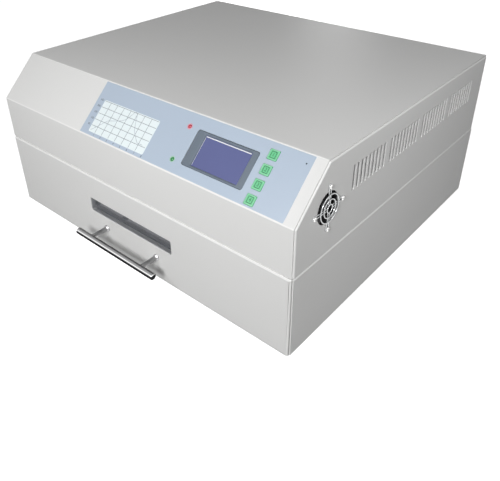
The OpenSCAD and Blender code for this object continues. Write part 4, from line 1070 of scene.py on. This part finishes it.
smallFan = {"side": 50 * mm, "pitch": 40 * mm, "depth": 15 * mm, "rings": (5.2, 11.6, 18.0)}
largeFan = {"side": 80 * mm, "pitch": 71.5 * mm, "depth": 25 * mm, "rings": (7.2, 13.6, 20, 26.4, 32.9)}
guard = {
    "wire": 0.7 * mm, "stand": 3.0 * mm, "eye": 2.6 * mm, "legHalf": 1.6 * mm, "legDrop": 1.6,
    "beyondRing": 0.8 * mm,
}
rotor = {
    "hubShare": 0.2, "tipGap": 3.2 * mm, "frontGap": 1.5 * mm, "backGap": 3 * mm, "blades": 7,
    "bladeRoot": 0.6 * mm, "bladeShare": 0.9, "wall": 1.0 * mm, "rootPitch": 48, "twist": 20,
    "chordShare": 0.86, "rootWidth": 0.88, "camber": 0.28, "sweep": 0.35,
}


def sideMatrix(side):
    return (Matrix.Translation((side * cabinet["half"], sideFan.y, sideFan.z))
            @ Matrix.Rotation(side * math.pi / 2, 4, "Y") @ Matrix.Rotation(math.pi / 4, 4, "Z"))


def rearMatrix(x, z):
    axes = Matrix(((-1, 0, 0, 0), (0, 0, 1, 0), (0, 1, 0, 0), (0, 0, 0, 1)))
    return Matrix.Translation((x, cabinet["rearY"], z)) @ axes


exhaust = middleOf("exhaust_fan_rotor")
fans = {
    "sideFanLeft": {**smallFan, "place": sideMatrix(-1), "node": "side_fan_rotor_left", "body": "left_fan"},
    "sideFanRight": {**smallFan, "place": sideMatrix(1), "node": "side_fan_rotor_right", "body": "right_fan"},
    "exhaustFan": {**largeFan, "place": rearMatrix(exhaust.x, exhaust.z), "node": "exhaust_fan_rotor",
                   "body": "exhaust_fan"},
}


def guardPaths(fan):  # rings, and four legs that each end in an eye round a screw
    wire, eye, half = guard["wire"], guard["eye"], guard["legHalf"]
    height = guard["stand"] - wire
    low = height - guard["legDrop"] * wire
    reach = fan["pitch"] / math.sqrt(2)
    rings = [r * mm for r in fan["rings"]]
    inner, bend = rings[0] * 0.9, rings[-1] + guard["beyondRing"]
    leg = [(inner, half, low), (bend * 0.6, half, low), (bend, half, low),
           (reach - eye * 1.25, eye * 0.8, wire)]
    loop = [(reach + eye * math.cos(a), eye * math.sin(a), wire)
            for a in [math.radians(125 - 25 * i) for i in range(11)]]
    back = [(x, -y, z) for x, y, z in leg[::-1]]
    paths = [([fan["place"] @ Vector((*p, height)) for p in circle(r, steps=64)], True) for r in rings]
    for quarter in range(4):
        turn = Matrix.Rotation(math.pi / 4 + quarter * math.pi / 2, 4, "Z")
        paths.append(([fan["place"] @ (turn @ Vector(p)) for p in leg + loop + back], False))
    return paths


def bladeMesh(hub, tip, depth):  # twisted less and swept more towards the tip
    rows, columns, verts = 8, 7, []
    for i in range(rows + 1):
        share = i / rows
        r = hub + (tip - hub) * share
        pitch = math.radians(rotor["rootPitch"] - rotor["twist"] * share)
        width = rotor["rootWidth"] + (1 - rotor["rootWidth"]) * share
        chord = depth * rotor["chordShare"] / math.sin(pitch) * width
        for k in range(columns + 1):
            t = k / columns - 0.5
            along, rise = chord * t, (0.25 - t * t) * chord * rotor["camber"]
            across = along * math.cos(pitch) - rise * math.sin(pitch)
            angle = across / r + rotor["sweep"] * share
            z = along * math.sin(pitch) + rise * math.cos(pitch)
            verts.append((r * math.cos(angle), r * math.sin(angle), z))
    n = columns + 1
    faces = [(i * n + k, i * n + k + 1, (i + 1) * n + k + 1, (i + 1) * n + k)
             for i in range(rows) for k in range(columns)]
    piece = newObject("blade", rawMesh("blade", verts, faces=faces))
    wall = piece.modifiers.new("wall", "SOLIDIFY")
    wall.thickness, wall.offset = rotor["wall"], 0
    return takenMesh(piece)


def hubProfile(hub, low, top):  # a cup with rounded rims and a shallow sticker seat
    return [(0, low), (hub - 0.6 * mm, low), (hub, low + 0.8 * mm), (hub, top - 1.2 * mm),
            (hub - 0.35 * mm, top - 0.35 * mm), (hub - 1.2 * mm, top), (hub * 0.72, top),
            (hub * 0.70, top - 0.25 * mm), (0, top - 0.25 * mm)]


def makeRotor(name, fan):
    hub, tip = fan["side"] * rotor["hubShare"], fan["side"] / 2 - rotor["tipGap"]
    low, top = rotor["backGap"] - fan["depth"], -rotor["frontGap"]
    blade = bladeMesh(hub - rotor["bladeRoot"], tip, (top - low) * rotor["bladeShare"])
    parts = [turned("hub", hubProfile(hub, low, top), steps=40)]
    for i in range(rotor["blades"]):
        turn = Matrix.Rotation(2 * math.pi * i / rotor["blades"], 4, "Z")
        parts.append(placed(blade, Matrix.Translation((0, 0, (low + top) / 2)) @ turn))
    seat = Matrix.Translation((0, 0, -cabinet["sheet"]))
    mesh = placed(merged(name, parts), fan["place"] @ seat)
    makePiece(name + "Rotor", mesh, fan["body"], "black_plastic", [fan["node"]], smoothAngle=45)


wirePiece("fanGuards", [path for fan in fans.values() for path in guardPaths(fan)], guard["wire"], 10,
          "bright_wire", "fan_guards", 60)
for fanName, fanData in fans.items():
    makeRotor(fanName, fanData)
softenedCopy("fan_frames", 0.3 * mm)
print("fans made")

# Screws and feet


screw = {
    "radius": 2.8 * mm, "height": 2.0 * mm, "shank": 1.4 * mm, "length": 3 * mm, "rim": 0.35,
    "recessReach": 0.55, "recessHalf": 0.36 * mm, "recessFloor": 0.45, "footSeat": 5 * mm,
    "nearRear": 30 * mm,
}
foot = {
    "radius": 12 * mm, "hole": 1.6 * mm, "recess": 3.8 * mm, "recessEdge": 0.4 * mm,
    "bottomEdge": 0.8 * mm, "shoulder": 0.5 * mm, "neck": 10.5 * mm, "neckHeight": 1.2 * mm,
}


def screwSource():  # pan head with a cross recess, its seat at z = 0
    radius, height, shank = screw["radius"], screw["height"], screw["shank"]
    rim, dome = height * screw["rim"], height * (1 - screw["rim"])
    crown = [(radius * math.cos(a), rim + dome * math.sin(a)) for a in quarterTurn(6)[:-1]]
    profile = [(0, -screw["length"]), (shank, -screw["length"]), (shank, 0), (radius, 0)] + crown
    head = newObject("screwHead", turned("screwHead", profile + [(0, height)], steps=28))
    arm, wide = radius * screw["recessReach"], screw["recessHalf"]
    floor = height * screw["recessFloor"]
    for x, y in ((arm, wide), (wide, arm)):
        cutter = newObject("cutter", box("cut", (-x, -y, floor), (x, y, height * 1.5)))
        cut = head.modifiers.new("cut", "BOOLEAN")
        cut.operation, cut.solver, cut.object = "DIFFERENCE", "EXACT", cutter
        head.data = evaluatedMesh(head)
        bpy.data.objects.remove(cutter)
    return takenMesh(head)


def islandBoxes(node):  # the box of each separate solid
    bm = welded(frame["nodes"][node].data)
    left, boxes = set(bm.verts), []
    for start in bm.verts:
        if start not in left:
            continue
        left.remove(start)
        stack, found = [start], []
        while stack:
            vert = stack.pop()
            found.append(vert.co.copy())
            for edge in vert.link_edges:
                other = edge.other_vert(vert)
                if other in left:
                    left.remove(other)
                    stack.append(other)
        low = Vector(min(c[i] for c in found) for i in range(3))
        high = Vector(max(c[i] for c in found) for i in range(3))
        boxes.append((low, high))
    bm.free()
    return boxes


def screwPlaces(node, lift):  # each head's seat, and the way it faces
    places = []
    for low, high in islandBoxes(node):
        x, y, z = (low + high) / 2
        if low.z < cabinet["floorZ"]:
            places.append((Vector((x, y, screw["footSeat"])), (0, 0, -1)))
        elif y < cabinet["rearY"] - screw["nearRear"]:
            side = math.copysign(1, x)
            places.append((Vector((side * (cabinet["half"] + lift), y, z)), (side, 0, 0)))
        else:
            places.append((Vector((x, cabinet["rearY"] + lift, z)), (0, 1, 0)))
    return places


def makeScrews():  # the fans' screws hold the guards' eyes
    source = screwSource()
    copiesPiece("caseScrews", source, screwPlaces("case_screws", 0), "steel_screws", "case_screws")
    places = screwPlaces("fan_screws", 2 * guard["wire"])
    copiesPiece("fanScrews", source.copy(), places, "steel_screws", "fan_screws")


def makeFeet():
    low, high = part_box("rubber_feet")
    radius, neck, recess, edge = foot["radius"], foot["neck"], foot["recess"], foot["bottomEdge"]
    top, waist = high.z, high.z - foot["neckHeight"]
    shoulder = foot["shoulder"]
    profile = [(recess, foot["recessEdge"]), (recess + foot["recessEdge"], 0), (radius - edge, 0),
               (radius, edge), (radius, waist - 0.7 * mm), (radius - shoulder, waist - 0.2 * mm),
               (neck, waist), (neck, top), (foot["hole"], top), (foot["hole"], top / 2),
               (recess, top / 2), (recess, foot["recessEdge"])]
    places = [(Vector((x, y, 0)), (0, 0, 1)) for x in (low.x + radius, high.x - radius)
              for y in (low.y + radius, high.y - radius)]
    copiesPiece("rubberFeet", turned("foot", profile, steps=40), places, "foot_rubber", "rubber_feet")


makeScrews()
makeFeet()
print("screws and feet made")

# Drawer and chamber

tray = {
    "columns": 7, "rows": 29, "slottedWidth": 432 * mm, "rowPitch": 12 * mm, "bridge": 8 * mm,
    "slotWidth": 5 * mm, "slotCorner": 2.3 * mm,
}
tube = {"radius": 6 * mm, "wall": 1.2 * mm, "edgeIn": 0.2 * mm, "edgeAlong": 0.3 * mm}
coil = {"radius": 2.0 * mm, "pitch": 5 * mm, "perTurn": 9, "wire": 0.4 * mm}


def makeTray():
    low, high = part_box("tray_plate")
    columns, rows = tray["columns"], tray["rows"]
    columnPitch = tray["slottedWidth"] / columns
    values = {"Width": high.x - low.x, "Depth": high.y - low.y, "Thickness": high.z - low.z,
              "Columns": columns, "Rows": rows,
              "Columns Span": columnPitch * (columns - 1), "Rows Span": tray["rowPitch"] * (rows - 1),
              "Slot Length": columnPitch - tray["bridge"], "Slot Width": tray["slotWidth"],
              "Corner": tray["slotCorner"], "Material": finishes["tray_black"]}
    piece = newObject("trayPlate", bpy.data.meshes.new("trayPlate"))
    grown(piece, trees["slotted"], values)
    piece.data.transform(Matrix.Translation(((low.x + high.x) / 2, (low.y + high.y) / 2, high.z)))
    dress(piece, "drawer", "tray_black", ["tray_plate"])


def makeTubes():
    low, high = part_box("quartz_tubes")
    spots = [(a + b) / 2 for a, b in islandBoxes("quartz_tubes")]
    radius, length, edgeIn, edge = tube["radius"], high.x - low.x, tube["edgeIn"], tube["edgeAlong"]
    bore = radius - tube["wall"]
    profile = [(bore, 0), (radius - edgeIn, 0), (radius, edge), (radius, length - edge),
               (radius - edgeIn, length), (bore, length), (bore, 0)]
    places = [(Vector((low.x, spot.y, spot.z)), (1, 0, 0)) for spot in spots]
    copiesPiece("quartzTubes", turned("tube", profile), places, "quartz", "quartz_tubes")
    return spots


def makeCoils(spots):
    low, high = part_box("heating_coils")
    radius, pitch, perTurn = coil["radius"], coil["pitch"], coil["perTurn"]
    steps = [(low.x + pitch * i / perTurn, 2 * math.pi * i / perTurn)
             for i in range(int((high.x - low.x) / pitch * perTurn))]
    paths = [([Vector((x, spot.y + radius * math.cos(a), spot.z + radius * math.sin(a)))
               for x, a in steps], False) for spot in spots]
    wirePiece("heatingCoils", paths, coil["wire"], 5, "resistance_wire", "heating_coils", 80)


makeTray()
for cadNode in ("front_ledge", "tray_rails", "drawer_pan", "drawer_bearers", "drawer_front_back",
                "slide_inners", "slide_outers", "chamber_liner", "chamber_jacket", "chamber_brackets",
                "exhaust_duct", "reflector", "mains_inlet", "inlet_pins", "fuse_holder", "fuse_cap",
                "power_switch_body", "power_rocker", "solid_state_relays", "power_supply",
                "control_board", "key_switches"):
    softenedCopy(cadNode, 0.25 * mm)
makeCoils(makeTubes())
for node, piece in frame["nodes"].items():  # what stays as it came still gets its finish
    if not piece.hide_render:
        piece.data.materials.clear()
        piece.data.materials.append(finishes[slotOf(node)])
print("drawer and chamber made")

# Floor, light and camera

studio = {
    "floorSize": 12.0, "floorTone": 0.08, "shadowTone": 0.9, "glow": 0.88, "worldTone": 0.06,
    "aim": (0, -0.05, 0.12),
}
lamps = {
    "key": {"place": (0.68, -1.5, 0.96), "size": 0.4, "power": 17},
    "fill": {"place": (-0.05, -0.75, 0.65), "size": 0.3, "power": 1.68},
    "side": {"place": (0.71, -0.1, 0.5), "size": 0.3, "power": 0.87},
    "left": {"place": (-1.3, -0.9, 0.22), "size": 0.4, "power": 0.8},
    "rear": {"place": (-0.8, 1.6, 0.22), "size": 0.4, "power": 10},
}
view = {
    "place": (0.56046, -0.64265, 0.54635), "azimuth": 41.345, "elevation": 30.765, "roll": -0.859,
    "lens": 41.37, "sensor": 36.0, "shiftRight": 0.0273, "shiftUp": -0.1184, "near": 0.01,
}


def seenRays(tree):  # 1 where a ray comes from the camera, a reflection or a pane
    rays = tree.add("ShaderNodeLightPath", out="all")
    return (rays["Is Camera Ray"] + rays["Is Glossy Ray"] + rays["Is Transmission Ray"]).clamped()


def makeFloor():
    size, tone, shadowTone = studio["floorSize"], studio["floorTone"], studio["shadowTone"]
    corners = [(-size, -size, 0), (size, -size, 0), (size, size, 0), (-size, size, 0)]
    mesh = rawMesh("floor", corners, faces=[(0, 1, 2, 3)])
    floor = newObject("floor", mesh)
    s = Surface("floorPale")
    plain = s.add("ShaderNodeBsdfDiffuse", {"Color": (tone, tone, tone, 1)})
    shadow = s.add("ShaderNodeBsdfDiffuse", {"Color": (shadowTone, shadowTone, shadowTone, 1)})
    glow = s.add("ShaderNodeEmission", {"Color": (1, 1, 1, 1), "Strength": studio["glow"]})
    seen = s.add("ShaderNodeAddShader", {0: shadow, 1: glow})
    both = s.add("ShaderNodeMixShader", {0: seenRays(s), 1: plain, 2: seen})
    s.add("ShaderNodeOutputMaterial", {"Surface": both})
    mesh.materials.append(s.material)


def makeWorld():
    world = bpy.data.worlds.new("studio")
    bpy.context.scene.world = world
    world.use_nodes = True
    world.node_tree.nodes.clear()
    tree = Tree(world.node_tree)
    strength = seenRays(tree) * (1 - studio["worldTone"]) + studio["worldTone"]
    background = tree.add("ShaderNodeBackground", {"Color": (1, 1, 1, 1), "Strength": strength})
    tree.add("ShaderNodeOutputWorld", {"Surface": background})


def makeLamp(name, lamp):
    data = bpy.data.lights.new(name + "Light", "AREA")
    data.shape, data.size, data.energy = "DISK", lamp["size"], lamp["power"]
    piece = newObject(name + "Light", data)
    piece.location = lamp["place"]
    way = Vector(studio["aim"]) - Vector(lamp["place"])
    piece.rotation_euler = way.to_track_quat("-Z", "Y").to_euler()


def makeCamera():
    azimuth, elevation, roll = (math.radians(view[key]) for key in ("azimuth", "elevation", "roll"))
    back = Vector((math.sin(azimuth) * math.cos(elevation), -math.cos(azimuth) * math.cos(elevation),
                   math.sin(elevation)))
    right = Vector((math.cos(azimuth), math.sin(azimuth), 0))
    up = back.cross(right)
    turnedRight = right * math.cos(roll) + up * math.sin(roll)
    turnedUp = up * math.cos(roll) - right * math.sin(roll)
    data = bpy.data.cameras.new("camera")
    data.sensor_width, data.lens = view["sensor"], view["lens"]
    data.shift_x, data.shift_y = view["shiftRight"], view["shiftUp"]
    data.clip_start = view["near"]
    camera = newObject("camera", data)
    axes = Matrix((turnedRight, turnedUp, back)).transposed()
    camera.matrix_world = Matrix.Translation(Vector(view["place"])) @ axes.to_4x4()
    bpy.context.scene.camera = camera


makeFloor()
makeWorld()
for lampName, lampData in lamps.items():
    makeLamp(lampName, lampData)
makeCamera()
bpy.context.scene.view_settings.view_transform = "Standard"
print("stage made")
